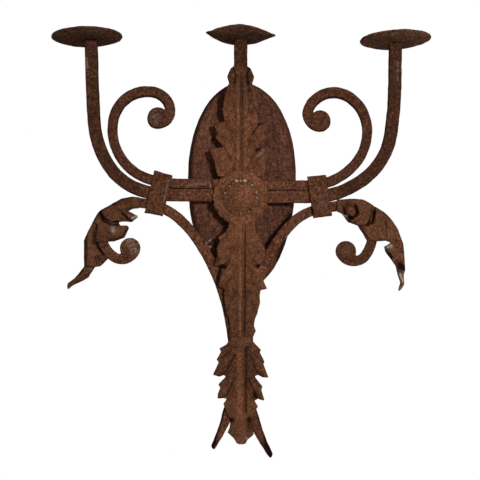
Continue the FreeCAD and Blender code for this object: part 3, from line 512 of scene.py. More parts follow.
def beat_out(plate):
    """Sets the plate's sides out a little, as the photograph shows them, and gives back the new points.

    The right side moves by 1 mm, and by 2.6 mm at the shoulder; the left side by 0.7 mm at the shoulder and
    by 1 mm a little below the bolt.
    """
    points = points_of(plate)
    across, up = points[:, 0] / MM, points[:, 2] / MM
    shoulder = np.clip(up / 90, 0, 1)
    points[:, 0] += (1.0 + 1.6 * shoulder) * MM * np.clip(across / 50, 0, 1) ** 2
    flank = 0.7 * shoulder + 1.0 * np.exp(-(((up + 22) / 22) ** 2))
    points[:, 0] -= flank * MM * np.clip(-across / 50, 0, 1) ** 2
    put_points(plate, points)
    return points


class SCONCE_OT_back_plate(SconceOperator, bpy.types.Operator):
    """Raised oval back plate with its hammered face"""

    bl_idname = "sconce.back_plate"
    bl_label = "Back Plate"

    def execute(self, context):
        plate = forge("back_plate", "rusted_back_plate", context.scene.sconce_forging.bar_grid * 1.1)
        hammer(plate, 1, 0.9)
        points = beat_out(plate)
        flat = points[:, [0, 2]] / MM
        right = np.clip(flat[:, 0] / 40, 0, 1)
        mark = np.linalg.norm(flat - np.array(seen(*PLUG_PIXEL, PLATE_Y)), axis=1)
        ring = np.exp(-(((mark - 4.6) / 1.6) ** 2))
        # A little darker to the right, painted shade beside the right lower scroll, a dark line, and painted
        # shade in the rivet's hole.
        soot_and_shade = 0.06 * right + marks(flat, SHADED_PLATE, PLATE_Y)
        stain(plate, "soot_and_shade", soot_and_shade + marks(flat, PLATE_SCALE_AND_SHADE, PLATE_Y))
        stain(plate, "bare_and_highlight", 0.3 * ring * np.clip(dents(points, 4 * MM, 8) * 2 + 0.5, 0, 1))
        # Painted shade on the arrises, less on the right, where the light falls on the rim.
        finish_piece(plate, "rusted_plate_iron", ["back_plate"], 0.3 - 0.2 * right)
        return {"FINISHED"}


# Painted shade on the far part of each bar, where the light falls off away from the middle.
BAR_FAR_SHADE = {
    "centre_stem": 0.50, "left_candle_arm": 0.44, "right_candle_arm": 0.46, "left_inner_scroll": 0.30,
    "right_inner_scroll": 0.30, "left_lower_scroll": 0.05, "right_lower_scroll": 0.22,
}
# How each scroll's end was turned a little past its drawn place: pixel, width, shift in x and z.
VOLUTE_MOVES = {
    "left_inner_scroll": ((156, 119), 15, -1.2, -1.3),
    "right_inner_scroll": ((321, 122), 15, 1.3, -1.3),
    "left_lower_scroll": ((130.5, 247.8), 15, 1.3, -0.8),
    "right_lower_scroll": ((346, 251.8), 15, -0.5, -1.2),
}
# Marks are (pixels of the photograph, width in mm, strength). Here the bars were scratched or rubbed bare,
# and the last mark is a painted highlight along the lit edge of the right lower scroll.
BAR_SCRATCHES_AND_HIGHLIGHT = [
    ([(90, 62), (91, 78)], 1.3, 0.4), ([(91, 92), (92, 96)], 1.2, 0.35),
    ([(394, 66), (394, 84)], 1.2, 0.3), ([(130, 240), (136, 250)], 6.0, 0.17),
    ([(156, 116), (158, 122)], 5.0, 0.12), ([(187, 186), (196, 184), (206, 185)], 1.4, 0.09),
    ([(346, 250)], 5.0, 0.08), ([(209, 183), (211, 187)], 1.6, 0.18),
    ([(300, 222), (284, 240)], 1.2, 0.2),
]
# Black scale on the bars: the tips of the tail and the weld beside the rosette, with painted shadow that the
# rosette casts on the left crossbar.
BAR_SCALE_AND_SHADOW = [
    ([(215, 441), (212, 448)], 6.0, 0.8), ([(267, 444), (272, 455)], 8.0, 0.8),
    ([(212, 180), (213, 188)], 1.8, 0.7), ([(199, 187), (209, 187)], 1.4, 0.6),
    ([(200, 206), (209, 200)], 2.0, 0.3),
]


class SCONCE_OT_bars(SconceOperator, bpy.types.Operator):
    """Stem, candle arms and scroll bars, forged square and left hammered"""

    bl_idname = "sconce.bars"
    bl_label = "Forged Bars"

    def execute(self, context):
        grid = context.scene.sconce_forging.bar_grid
        for seed, node in enumerate(BARS, 2):
            bar = forge(node, f"forged_{node}", grid)
            hammer(bar, seed, 1.2)
            points = points_of(bar)
            flat = points[:, [0, 2]] / MM
            if node in VOLUTE_MOVES:
                pixel, width, dx, dz = VOLUTE_MOVES[node]
                share = near(flat, [seen(*pixel, BAR_FRONT_Y)], width)[:, None]
                points += share * np.array((dx, 0, dz)) * MM
                put_points(bar, points)
            # Painted shade darkens the bars away from the middle, and the stem above its lower part.
            away = np.clip((np.hypot(flat[:, 0], flat[:, 1] * 0.8) - 90) / 60, 0, 1)
            if node == "centre_stem":
                away = np.clip((flat[:, 1] - 120) / 30, 0, 1)
            stain(bar, "soot_and_shade", 0.08 + BAR_FAR_SHADE[node] * away + marks(flat, BAR_SCALE_AND_SHADOW, BAR_MIDDLE_Y))
            broken = np.clip(dents(points, 3 * MM, seed) * 3 + 0.8, 0, 1)
            stain(bar, "bare_and_highlight", marks(flat, BAR_SCRATCHES_AND_HIGHLIGHT, BAR_FRONT_Y) * broken)
            finish_piece(bar, "rusted_bar_iron", [node])
        return {"FINISHED"}


# How far each corner of the wrapped bands was driven up or down: pixel, shift in z.
COLLAR_MOVES = [
    ((153, 170), 1.4), ((152, 214), 1.8), ((162, 217), 1.6),
    ((307, 178), 1.3), ((318, 218), 1.8), ((332, 216), 1.4),
]
# Width in mm of the part of a band that moves with such a corner.
COLLAR_CORNER = 13
COLLAR_SCALE = [
    ([(321, 204)], 5, 0.25), ([(312, 211)], 4, 0.6), ([(309, 195), (313, 214)], 1.8, 0.5),
]
# A rubbed spot on the right band, and a painted highlight down the lit right edge of the left band.
COLLAR_SCRATCHES_AND_HIGHLIGHT = [([(321, 204)], 4, 0.12), ([(168, 180), (164, 200)], 1.2, 0.1)]


class SCONCE_OT_collars(SconceOperator, bpy.types.Operator):
    """Flat bands wrapped hot round the three bars of each side"""

    bl_idname = "sconce.collars"
    bl_label = "Wrapped Collars"

    def execute(self, context):
        grid = context.scene.sconce_forging.bar_grid
        for seed, side in enumerate(("left", "right"), 11):
            collar = forge(f"{side}_collar", f"wrapped_{side}_collar", grid * 0.8)
            hammer(collar, seed, 1.6)
            points = points_of(collar)
            flat = points[:, [0, 2]] / MM
            for pixel, dz in COLLAR_MOVES:
                points[:, 2] += near(flat, [seen(*pixel, COLLAR_Y)], COLLAR_CORNER) * dz * MM
            put_points(collar, points)
            stain(collar, "soot_and_shade", 0.22 + marks(flat, COLLAR_SCALE, COLLAR_Y))
            stain(collar, "bare_and_highlight", marks(flat, COLLAR_SCRATCHES_AND_HIGHLIGHT, COLLAR_Y))
            finish_piece(collar, "rusted_bar_iron", [f"{side}_collar"])
        return {"FINISHED"}


# How much darker each pan is made: the left one most, the right one not at all.
PAN_DARKENING = {"left_pan": 0.42, "centre_pan": 0.28, "right_pan": 0.0}


class SCONCE_OT_pans(SconceOperator, bpy.types.Operator):
    """Shallow drip pans; the centre one is bent by hand"""

    bl_idname = "sconce.pans"
    bl_label = "Drip Pans"

    def execute(self, context):
        grid = context.scene.sconce_forging.bar_grid
        for seed, (name, soot_and_shade) in enumerate(PAN_DARKENING.items(), 14):
            pan = forge(name, f"hammered_{name}", grid * 0.8)
            hammer(pan, seed, 1.2)
            if name == "centre_pan":
                bend_centre_pan(pan)
            else:
                lower_rim(pan, name)
            stain(pan, "soot_and_shade", np.full(len(pan.data.vertices), soot_and_shade))
            finish_piece(pan, "sooty_pan_iron", [name], 0.0)
        return {"FINISHED"}


# How far in mm the rims of the side pans have sunk.
PAN_SAG = 0.9


def lower_rim(pan, name):
    """Lets the rim of a side pan sink a little."""
    points = points_of(pan)
    low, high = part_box(name)
    across = points[:, 0] - (low.x + high.x) / 2
    along = points[:, 1] - (low.y + high.y) / 2
    out = np.hypot(across, along) / MM
    points[:, 2] -= PAN_SAG * MM * (out / 50) ** 2
    put_points(pan, points)


# Lift of the centre pan's rim in mm at each turn in degrees from its right side, anticlockwise from above.
CENTRE_PAN_RIM = [
    (-145, -2.2), (-120, -0.3), (-90, 1.4), (-50, -3.4), (-30, -4.8), (-15, -4.0), (0, 0.2), (22, 8.0),
    (50, 13.5), (70, 11.0), (90, 7.6), (111, 10.5), (130, 12.8), (158, 10.0), (180, 4.4), (200, 0.6),
]


def bend_centre_pan(pan):
    """The rear rim is bent up, and the rim is pinched to lips at both sides."""
    low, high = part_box("centre_pan")
    middle = (low + high) / 2
    points = points_of(pan)
    out = points[:, :2] - np.array(middle[:2])
    radius = np.linalg.norm(out, axis=1) / MM
    angle = np.arctan2(out[:, 1], out[:, 0])
    rim = np.clip((radius - 28) / 22, 0, 1) ** 1.4
    turns = [turn for turn, _ in CENTRE_PAN_RIM]
    lifts = [lift for _, lift in CENTRE_PAN_RIM]
    points[:, 2] += rim * np.interp(np.degrees(angle), turns, lifts, period=360) * MM
    put_points(pan, points)


# Ridges of the leaves, and grooves where the height is below 0: (pixels of the photograph, width, height).
UPPER_RIDGES = [
    ([(237.4, 80), (237.4, 172)], 4.0, 1.5),
    ([(245.6, 80), (245.6, 172)], 4.0, 1.0),
    ([(241.3, 76), (241.3, 170)], 1.5, -0.9),
    ([(229, 110), (232, 92)], 4.0, 1.0), ([(252, 110), (249, 92)], 4.0, 1.0),
    ([(218, 128), (229, 140)], 5.5, 1.5), ([(264, 128), (253, 140)], 5.5, 1.5),
    ([(214, 152), (227, 166)], 6.0, 1.5), ([(268, 152), (255, 166)], 6.0, 1.5),
    ([(224.5, 121.5), (231, 132)], 2.2, -1.2), ([(258, 123.6), (251, 133)], 2.2, -1.2),
    ([(223, 147.4), (230, 158)], 2.2, -1.2), ([(258, 148.8), (251, 158)], 2.2, -1.2),
    ([(231, 77)], 3.5, 1.0), ([(250, 77)], 3.5, 1.0),
]
LOWER_RIDGES = [
    ([(240, 222), (239.8, 336)], 4.0, 1.6),
    ([(247.4, 222), (247, 336)], 4.0, 0.9),
    ([(244, 222), (243.6, 336)], 1.6, -0.9),
    ([(236, 226), (222, 246)], 5.0, 1.2), ([(250, 226), (263, 246)], 5.0, 1.0),
    ([(232, 240), (219, 260)], 5.0, 1.3), ([(254, 240), (266, 258)], 5.0, 1.0),
    ([(231, 262), (221, 282)], 5.0, 1.2), ([(252, 262), (262, 284)], 5.0, 1.0),
    ([(232, 286), (227, 300)], 4.0, 1.0), ([(251, 286), (256, 302)], 4.0, 0.9),
    ([(222.5, 266.5), (229, 262)], 2.2, -1.6), ([(258.5, 266), (253, 262)], 2.2, -1.4),
    ([(219.5, 240.5), (226, 236)], 1.8, -0.9), ([(264, 244), (257, 238)], 1.8, -0.8),
]
TAIL_RIDGES = [
    ([(238.5, 345), (239, 412)], 5.5, 1.8),
    ([(249, 345), (248.5, 412)], 4.5, 0.9),
    ([(244.8, 348), (244.8, 412)], 1.8, -1.0),
    ([(233, 346), (219, 372)], 4.5, 1.2), ([(250, 346), (264, 374)], 4.5, 1.0),
    ([(233, 376), (221, 396)], 4.0, 1.1), ([(250, 378), (262, 398)], 4.0, 0.9),
    ([(232, 366), (225, 376)], 1.8, -1.0), ([(249, 366), (256, 377)], 1.8, -1.0),
    ([(233, 390), (227, 399)], 1.8, -1.0), ([(248, 390), (255, 401)], 1.8, -1.0),
    ([(228.8, 421)], 3.5, -1.6), ([(249.5, 420)], 3.5, -1.6),
    ([(240, 432)], 6.0, 1.0),
]


def fan(slope, pitch):
    """Veins that leave the spine on both sides at this slope, one every pitch millimetres. They wander and
    fade as struck veins do, and don't follow the photograph's one by one.
    """
    def veins(flat):
        out = np.abs(flat[:, 0] - 1.5)
        wander = np.array([noise.noise(Vector((x / 16, z / 16, pitch))) for x, z in flat])
        phase = (flat[:, 1] - slope * out ** 1.15) / pitch + 1.0 * wander
        depth = 0.6 + 0.7 * np.array([noise.noise(Vector((x / 7, z / 7, slope))) for x, z in flat])
        return np.cos(2 * math.pi * phase) * depth * np.clip((out - 4) / 5, 0, 1)
    return veins


def upper_shade(flat):
    """Painted shade on the upper leaf: darker at its top, and on its right half, which is turned from the
    light.
    """
    return 0.38 * np.clip((flat[:, 1] - 125) / 45, 0, 1) + 0.1 * np.clip(flat[:, 0] / 10, 0, 1)


def lower_shade(flat):
    """Painted shade on the lower leaf: its lower half, and most of all its foot."""
    foot = 0.14 * np.clip((-180 - flat[:, 1]) / 20, 0, 1)
    return 0.24 * np.clip((-85 - flat[:, 1]) / 50, 0, 1) + foot


class SCONCE_OT_main_leaves(SconceOperator, bpy.types.Operator):
    """Upper, lower and tail acanthus leaves, cut from sheet and worked over a stake"""

    bl_idname = "sconce.main_leaves"
    bl_label = "Centre Leaves"

    def execute(self, context):
        grid = context.scene.sconce_forging.leaf_grid
        upper = forge("upper_leaf", "worked_upper_leaf", grid)
        work_leaf(
            upper, UPPER_LEAF_Y, UPPER_RIDGES, pillow=(1.6, 3.5), veins=fan(0.9, 4.6),
            valley=0.09, shade=upper_shade,
            # The dark marks are painted shade: in the eyes at the right notches, down the spine's groove, at
            # the tip, and along the creases of the lobes and the bulb.
            soot_and_shade=[
                ([(262.5, 123), (259, 124)], 1.8, 0.8), ([(260, 148.5), (256.5, 149.5)], 1.8, 1.0),
                ([(241.5, 84), (241.5, 162)], 2.2, 0.3), ([(241, 66)], 9, 0.3),
                ([(247, 84), (250, 92)], 2.5, 0.35),
                ([(253, 104), (262, 121)], 1.6, 0.3), ([(252, 130), (262, 147)], 1.6, 0.3),
                ([(225, 122), (230, 131), (236, 150)], 1.5, 0.28),
                ([(258.5, 124), (253, 132), (247, 150)], 1.5, 0.3),
                ([(224, 147.5), (229, 156), (235, 170)], 1.5, 0.28),
                ([(258, 149), (253, 156), (247, 170)], 1.5, 0.3),
                ([(229, 92), (233, 104), (237, 122)], 1.5, 0.22),
                ([(253, 94), (249, 106), (246, 122)], 1.5, 0.25),
                ([(233, 70), (236, 78), (234, 85)], 1.4, 0.5),
                ([(249, 70), (246.5, 79), (249, 85)], 1.4, 0.5),
            ],
            bare_and_highlight=[([(250.5, 107), (252, 103.5)], 1.5, 0.1), ([(258, 156), (263, 151)], 2.0, 0.16)],
        )
        lower = forge("lower_leaf", "worked_lower_leaf", grid)
        work_leaf(
            lower, LEAF_Y, LOWER_RIDGES, pillow=(1.6, 3.5), veins=fan(-1.1, 4.6),
            valley=0.07, shade=lower_shade,
            # The dark marks are painted shade in the eyes, down the spine's groove and along the lobes' edges
            # and creases; the one below 0 is a painted highlight beside the groove.
            soot_and_shade=[
                ([(221, 266), (224.5, 266.5)], 2.8, 1.3),
                ([(221, 271), (218.5, 280), (216.5, 287)], 2.0, 0.9),
                ([(257, 266), (259, 265)], 2.4, 1.1), ([(245.2, 232), (244.6, 330)], 2.6, 0.34),
                ([(240.5, 228), (240, 335)], 2.2, -0.25),
                ([(222.5, 290), (222.5, 330)], 1.6, 0.5), ([(216, 262), (221, 258)], 2.0, 0.5),
                ([(222.5, 266.5), (230, 258), (237, 244)], 1.5, 0.25),
                ([(258.5, 266), (252, 257), (248, 244)], 1.5, 0.25),
                ([(219.5, 240.5), (228, 234), (236, 224)], 1.5, 0.2),
                ([(264, 244), (256, 236), (249, 226)], 1.5, 0.2),
                ([(222, 291), (229, 281), (237, 266)], 1.5, 0.25),
                ([(257, 290), (252, 279), (248, 266)], 1.5, 0.25),
                ([(226, 312), (231, 302), (237, 290)], 1.5, 0.22),
                ([(255, 312), (252, 302), (248, 290)], 1.5, 0.22),
            ],
            bare_and_highlight=[([(260, 267)], 1.4, 0.15), ([(257, 239.5)], 1.2, 0.15)],
        )
        tail = forge("tail_leaf", "worked_tail_leaf", grid)
        work_leaf(
            tail, LEAF_Y, TAIL_RIDGES, pillow=(1.4, 3.5), veins=fan(-1.0, 4.6), valley=0.06, shade=0.26,
            # The dark marks are painted shade across its top under the lower leaf, down the spine's groove,
            # in the lobes' creases and about the tips; the one below 0 is a painted highlight on the lit rib.
            soot_and_shade=[
                ([(216, 330), (262, 334)], 6.0, 0.25), ([(232, 346), (249, 346)], 1.8, 0.3),
                ([(246, 350), (246, 410)], 3.6, 0.28), ([(238, 352), (238.5, 412)], 5.0, -0.22),
                ([(219, 375), (226, 371), (235, 354)], 1.8, 0.5),
                ([(263, 376), (257, 372), (250, 354)], 1.8, 0.5),
                ([(220, 398), (227, 394), (235, 377)], 1.8, 0.5),
                ([(262, 400), (256, 397), (249, 378)], 1.8, 0.5),
                ([(217, 349), (228, 345)], 1.5, 0.3), ([(217, 360), (229, 352)], 1.5, 0.35),
                ([(262, 361), (252, 352)], 1.5, 0.35),
                ([(218, 384), (229, 376)], 1.5, 0.35), ([(260, 386), (251, 377)], 1.5, 0.35),
                ([(225, 421), (232, 419.5)], 3.6, 0.85), ([(249.5, 420)], 4.5, 0.7),
                ([(256, 395)], 5.5, 0.5),
                ([(250, 427)], 4.5, 0.4),
            ],
            bare_and_highlight=[([(246.7, 437.5)], 2.0, 0.25)],
        )
        leaves = ((upper, "upper_leaf"), (lower, "lower_leaf"), (tail, "tail_leaf"))
        for seed, (leaf, node) in enumerate(leaves, 21):
            hammer(leaf, seed, 0.8)
            finish_piece(leaf, "rusted_leaf_iron", [node])
        return {"FINISHED"}


LEFT_LEAF_RIDGES = [
    ([(128, 205), (112, 208), (103, 214)], 7.0, 3.0),
    ([(125, 222), (133, 220)], 5.0, 2.5),
    ([(100, 212), (104.5, 220), (111, 223.5), (117, 223)], 2.6, -2.4),
    ([(113, 231)], 7.0, 3.0),
    ([(90, 232), (90, 258)], 5.0, 2.0),
    ([(96, 226), (95.5, 243)], 2.6, -1.2),
    ([(103, 258)], 5.0, 1.8),
    ([(97, 256), (99, 263)], 1.8, -1.0),
    ([(88, 272), (76, 279)], 4.0, 1.5),
]
RIGHT_LEAF_RIDGES = [
    ([(349, 209)], 7.0, 3.5),
    ([(360, 216), (352, 221)], 5.0, 2.8),
    ([(355.4, 205), (357.3, 212)], 1.8, -1.8),
    ([(373.5, 208), (371, 222)], 2.6, -2.6),
    ([(350.4, 217.5)], 2.0, -2.5),
    ([(382, 222), (384, 236)], 9.0, 2.5),
    ([(365, 232)], 5.0, 1.5),
    ([(386, 247)], 4.5, 4.5),
    ([(400, 245), (401, 258)], 4.0, 1.2),
    ([(400, 268)], 4.0, 1.5),
]


class SCONCE_OT_side_leaves(SconceOperator, bpy.types.Operator):
    """Curled leaves that cover the arches of the lower scrolls"""

    bl_idname = "sconce.side_leaves"
    bl_label = "Side Leaves"

    def execute(self, context):
        grid = context.scene.sconce_forging.leaf_grid
        left = forge("left_side_leaf", "worked_left_side_leaf", grid)
        work_leaf(
            left, SIDE_LEAF_Y, LEFT_LEAF_RIDGES, pillow=(1.6, 3.0), shade=0.43, gain=1.4,
            moves=[((70, 284), 5, -1.8, -1.6), ((127, 217), 6, 1.2, 1.0), ((95, 218), 16, -0.9, 0.7)],
            # The dark marks are painted shade in the folds, the slit and under the curled lobes, and those
            # below 0 a painted sheen; the pale marks are mostly painted highlights on the curled tip and a
            # painted sheen on the middle lobe.
            soot_and_shade=[
                ([(101, 213), (103.5, 219)], 2.2, 0.95), ([(97.9, 242.5)], 1.6, 0.9),
                ([(116, 205), (115, 207)], 2.5, 0.3),
                ([(104, 221), (110, 223.5), (116.5, 222)], 1.2, 0.4), ([(86, 266), (96, 267)], 1.6, 0.5),
                ([(98, 225), (96, 233), (95.6, 243)], 1.7, 0.5),
                ([(97.8, 244), (99.5, 249), (104, 254)], 1.8, 1.0),
                ([(96, 257), (97.5, 264)], 1.3, 0.3), ([(99.5, 256), (103, 262)], 1.2, 0.3),
                ([(128, 228), (121, 238), (110, 240)], 2.6, 0.4),
                ([(122, 213), (127, 219), (132, 221)], 1.7, 0.75),
                ([(87, 236), (86.5, 262)], 2.4, 0.25), ([(92, 232), (92, 262)], 3.0, -0.2),
                ([(112, 230)], 5.5, -0.25),
                ([(112, 212), (118, 216)], 5.0, -0.12),
            ],
            bare_and_highlight=[
                ([(132, 218), (136, 216)], 1.8, 0.9), ([(127.5, 217)], 1.6, 0.4),
                ([(112, 224), (115, 231)], 3.4, 0.3),
                ([(91, 268)], 3.0, 0.12),
            ],
        )
        right = forge("right_side_leaf", "worked_right_side_leaf", grid)
        work_leaf(
            right, SIDE_LEAF_Y, RIGHT_LEAF_RIDGES, pillow=(1.6, 3.0), shade=0.34, gain=1.4,
            moves=[((401, 287), 5, -1.2, -2.4), ((345, 214), 6, -0.8, -1.2), ((388, 218), 18, 1.1, 0.7)],
            # The dark marks are painted shade in the folds and cups and under the curled lobe and lips, and
            # those below 0 a painted sheen; the pale marks are mostly painted highlights on the curled lobe,
            # the hooked tip and a lip.
            soot_and_shade=[
                ([(355.6, 206), (357.5, 212), (355, 216)], 1.8, 0.9),
                ([(374, 213), (371.5, 219), (368, 224.5)], 2.2, 1.0),
                ([(343, 206), (346, 213), (352, 216.5)], 1.5, 0.5), ([(368, 224.5), (361, 226)], 1.6, 0.5),
                ([(349, 217), (353, 218.5)], 1.8, 0.9), ([(349, 203)], 6.0, 0.25),
                ([(388, 253), (391, 257)], 2.0, 0.95),
                ([(395, 241)], 3.0, 0.4), ([(400.5, 266)], 5.0, 0.75),
                ([(346, 221), (353, 226), (359, 226)], 1.6, 0.5),
                ([(384.5, 222), (385.5, 237)], 1.7, 0.35), ([(377, 216), (378.5, 232)], 2.4, -0.2),
                ([(360, 216), (364, 219)], 4.0, -0.15), ([(362, 228), (368, 238)], 1.8, 0.35),
                ([(397, 262), (403, 270)], 3.0, 0.4), ([(396, 218), (406, 240)], 2.0, 0.2),
            ],
            bare_and_highlight=[
                ([(385.5, 247.5), (389, 246)], 2.6, 1.1), ([(403, 271), (403.5, 278)], 1.2, 0.45),
                ([(399, 274), (402, 281)], 1.1, 0.7), ([(400.5, 288.5), (404, 285)], 1.6, 0.8),
                ([(344, 213.5), (347.5, 216)], 1.2, 0.45), ([(381.5, 236)], 1.4, 0.22),
            ],
        )
        for seed, (leaf, node) in enumerate(((left, "left_side_leaf"), (right, "right_side_leaf")), 31):
            hammer(leaf, seed, 0.8)
            finish_piece(leaf, "rusted_leaf_iron", [node])
        return {"FINISHED"}


# Radius in mm of the ridge between the rosette's flat middle and its rim, the share by which the notches
# between its scallops are closed, painted shade in the hollows on the left of its rim, and painted shade in
# the pit low on its right.
RIDGE_RADIUS = 28
NOTCH_CLOSED = 0.35
ROSETTE_HOLLOW_SHADE = [
    ([(222, 192), (221, 199)], 3.2, 0.4), ([(229, 184)], 3.0, 0.3), ([(226, 206)], 4.0, 0.25),
]
ROSETTE_PIT_SHADE = ([(249.6, 208.3)], 3.2, 0.9)


def fill_scallops(points, radius, outer):
    """Draws the rim's notches out towards its scallops."""
    turn = np.arctan2(points[:, 0], points[:, 2])
    sector = np.floor((turn + math.pi) / (2 * math.pi) * 359.99).astype(int)
    reach = np.zeros(360)
    np.maximum.at(reach, sector, radius)
    filled = reach.max() / reach[sector]
    points[:, [0, 2]] *= (1 + NOTCH_CLOSED * outer * (filled - 1))[:, None]


def bend_rim(points, radius, outer):
    """Bends the rim back, further where no bar or leaf lies under it, and raises the ridge inside it."""
    beside_bars = np.clip((np.abs(points[:, 2]) / MM - 13) / 6, 0, 1)
    beside_leaves = np.clip((np.abs(points[:, 0]) / MM - 15) / 6, 0, 1)
    points[:, 1] += (1.5 + 4.0 * beside_bars * beside_leaves) * MM * outer ** 2
    points[:, 1] -= 1.8 * MM * np.exp(-(((radius - RIDGE_RADIUS) / 4.0) ** 2))


class SCONCE_OT_rosette(SconceOperator, bpy.types.Operator):
    """Scalloped rosette, its ring of beads and the domed boss bolt"""

    bl_idname = "sconce.rosette"
    bl_label = "Rosette"

    def execute(self, context):
        grid = context.scene.sconce_forging.leaf_grid
        petals = forge("rosette_petals", "worked_rosette_petals", grid)
        points = points_of(petals)
        radius = np.hypot(points[:, 0], points[:, 2]) / MM
        outer = np.clip((radius - 24) / 14, 0, 1)
        fill_scallops(points, radius, outer)
        bend_rim(points, radius, outer)
        put_points(petals, points)
        hammer(petals, 41, 1.4)
        clots = np.clip(dents(points, 3.4 * MM, 42), 0, 1) * np.exp(-(((radius - RIDGE_RADIUS) / 3.5) ** 2))
        points = points_of(petals)
        points[:, 1] -= 2.0 * clots * MM
        put_points(petals, points)
        flat = points[:, [0, 2]] / MM
        # The rim a little darker, and painted shade in its hollows on the left.
        stain(petals, "soot_and_shade", 0.12 * outer + marks(flat, ROSETTE_HOLLOW_SHADE, ROSETTE_Y))
        finish_piece(petals, "rubbed_rosette_iron", ["rosette_petals"])
        finish_piece(bead_ring(), "rubbed_rosette_iron", ["rosette_bead_ring"], 0.15)
        boss = forge("rosette_boss_bolt", "forged_boss_bolt", grid * 1.2)
        ease_boss(boss)
        hammer(boss, 43, 0.8)
        # Painted shade in the pit.
        stain(boss, "soot_and_shade", marks(points_of(boss)[:, [0, 2]] / MM, [ROSETTE_PIT_SHADE], BOSS_Y))
        finish_piece(boss, "rubbed_rosette_iron", ["rosette_boss_bolt"], 0.0)
        return {"FINISHED"}


def ease_boss(boss):
    """Turns the round dome into a bell whose foot runs out flat, as a struck boss has it."""
    low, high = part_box("rosette_boss_bolt")
    points = points_of(boss)
    radius = np.hypot(points[:, 0], points[:, 2]) / high.x
    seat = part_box("rosette_bead_ring")[0].y + 2.0 * MM
    rise = seat - low.y
    front = points[:, 1] < seat + 0.5 * MM
    bell = seat - rise * np.cos(0.5 * math.pi * np.clip(radius, 0, 1)) ** 1.35
    points[:, 1] = np.where(front & (points[:, 1] < seat), np.minimum(bell, seat), points[:, 1])
    put_points(boss, points)


# Painted highlights on the beads, brightest over the top and down the right, where the light falls.
LIT_BEADS = [
    ([(236.3, 180)], 2.4, 0.5), ([(239.8, 180), (244.7, 180)], 2.4, 0.7), ([(252.3, 183.7)], 2.6, 0.8),
    ([(256, 191)], 2.4, 0.6), ([(256.3, 199.5)], 2.2, 0.6), ([(255.4, 203.5)], 2.0, 0.4),
    ([(229, 186)], 2.6, 0.4), ([(225, 194)], 2.4, 0.3),
]
# Painted shade in the pit, and on the beads low on the left.
BEAD_RING_SHADE = [ROSETTE_PIT_SHADE, ([(232, 207)], 4, 0.25)]
# Radius of the beaded disc's hole, how far its face lies behind the foremost bead of the CAD piece, the
# radius on which its beads stand, their number, the radius of a bead and how far that varies, and the steps
# in which the disc is turned. Sizes are in mm.
DISC_HOLE = 4.4
DISC_FRONT = 2.3
BEAD_RING = 23.2
BEAD_COUNT = 24
BEAD_SIZE = 2.2
BEAD_SPREAD = 1.3
DISC_STEPS = 72


def bead_ring():
    """A disc with a ring of beads struck into it, no two quite the same."""
    low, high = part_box("rosette_bead_ring")
    hole, rim, ring = DISC_HOLE * MM, high.x, BEAD_RING * MM
    front = low.y + DISC_FRONT * MM
    mesh = bmesh.new()
    section = ((hole, high.y, 0), (rim, high.y, 0), (rim, front, 0), (hole, front, 0))
    corners = [mesh.verts.new(place) for place in section]
    edges = [mesh.edges.new((a, b)) for a, b in zip(corners, corners[1:] + corners[:1])]
    bmesh.ops.spin(
        mesh, geom=corners + edges, cent=(0, 0, 0), axis=(0, 1, 0), angle=2 * math.pi, steps=DISC_STEPS,
        use_merge=True,
    )
    for number in range(BEAD_COUNT):
        turn = 2 * math.pi * number / BEAD_COUNT
        wander = noise.noise(Vector((number * 1.7, 0.4, 2.2)))
        size = (BEAD_SIZE + BEAD_SPREAD * wander) * MM
        middle = Vector(((ring + wander * MM) * math.sin(turn), front, (ring + wander * MM) * math.cos(turn)))
        bead = bmesh.ops.create_icosphere(mesh, subdivisions=3, radius=size)
        bmesh.ops.translate(mesh, verts=bead["verts"], vec=middle)
    bmesh.ops.recalc_face_normals(mesh, faces=mesh.faces)
    ring_piece = as_piece(mesh, "struck_bead_ring")
    points = points_of(ring_piece)
    radius = np.hypot(points[:, 0], points[:, 2]) / MM
    forward = (front - points[:, 1]) / MM
    flat = points[:, [0, 2]] / MM
    # Painted highlights on the fronts of the beads that face the light, then painted shade.
    lit_beads = marks(flat, LIT_BEADS, front / MM)
    stain(ring_piece, "bare_and_highlight", np.clip(forward - 0.8, 0, 1) * np.clip(lit_beads, 0, 0.8))
    stain(ring_piece, "soot_and_shade", marks(flat, BEAD_RING_SHADE, front / MM))
    return ring_piece


class SCONCE_OT_fasteners(SconceOperator, bpy.types.Operator):
    """Washer, nut and plug rivet, which keep their shape and take the plate's rust"""

    bl_idname = "sconce.fasteners"
    bl_label = "Fasteners"

    def execute(self, context):
        for node in ("bolt_washer", "bolt_nut", "plate_plug_rivet"):
            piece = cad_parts[node]
            piece.data.materials.clear()
            piece.data.materials.append(iron("rusted_plate_iron"))
        return {"FINISHED"}


class SCONCE_OT_studio(SconceOperator, bpy.types.Operator):
    """Pale floor, soft light from the right, white background and the photograph's camera"""

    bl_idname = "sconce.studio"
    bl_label = "Studio"

    def execute(self, context):
        lay_floor(context)
        hang_lamps(context)
        light_world(context)
        place_camera(context)
        context.scene.view_settings.view_transform = "Standard"
        return {"FINISHED"}


def lay_floor(context):
    """A matt pale floor below the object."""
    mesh = bmesh.new()
    bmesh.ops.create_grid(mesh, x_segments=1, y_segments=1, size=1.2)
    bmesh.ops.translate(mesh, verts=mesh.verts, vec=(0, -0.2, -0.9))
    floor = as_piece(mesh, "studio_floor")
    material = bpy.data.materials.new("matt_white_floor")
    material.use_nodes = True
    shader = material.node_tree.nodes["Principled BSDF"]
    shader.inputs["Base Color"].default_value = tuple(context.scene.sconce_colours.floor) + (1.0,)
    shader.inputs["Roughness"].default_value = 0.9
    floor.data.materials.append(material)


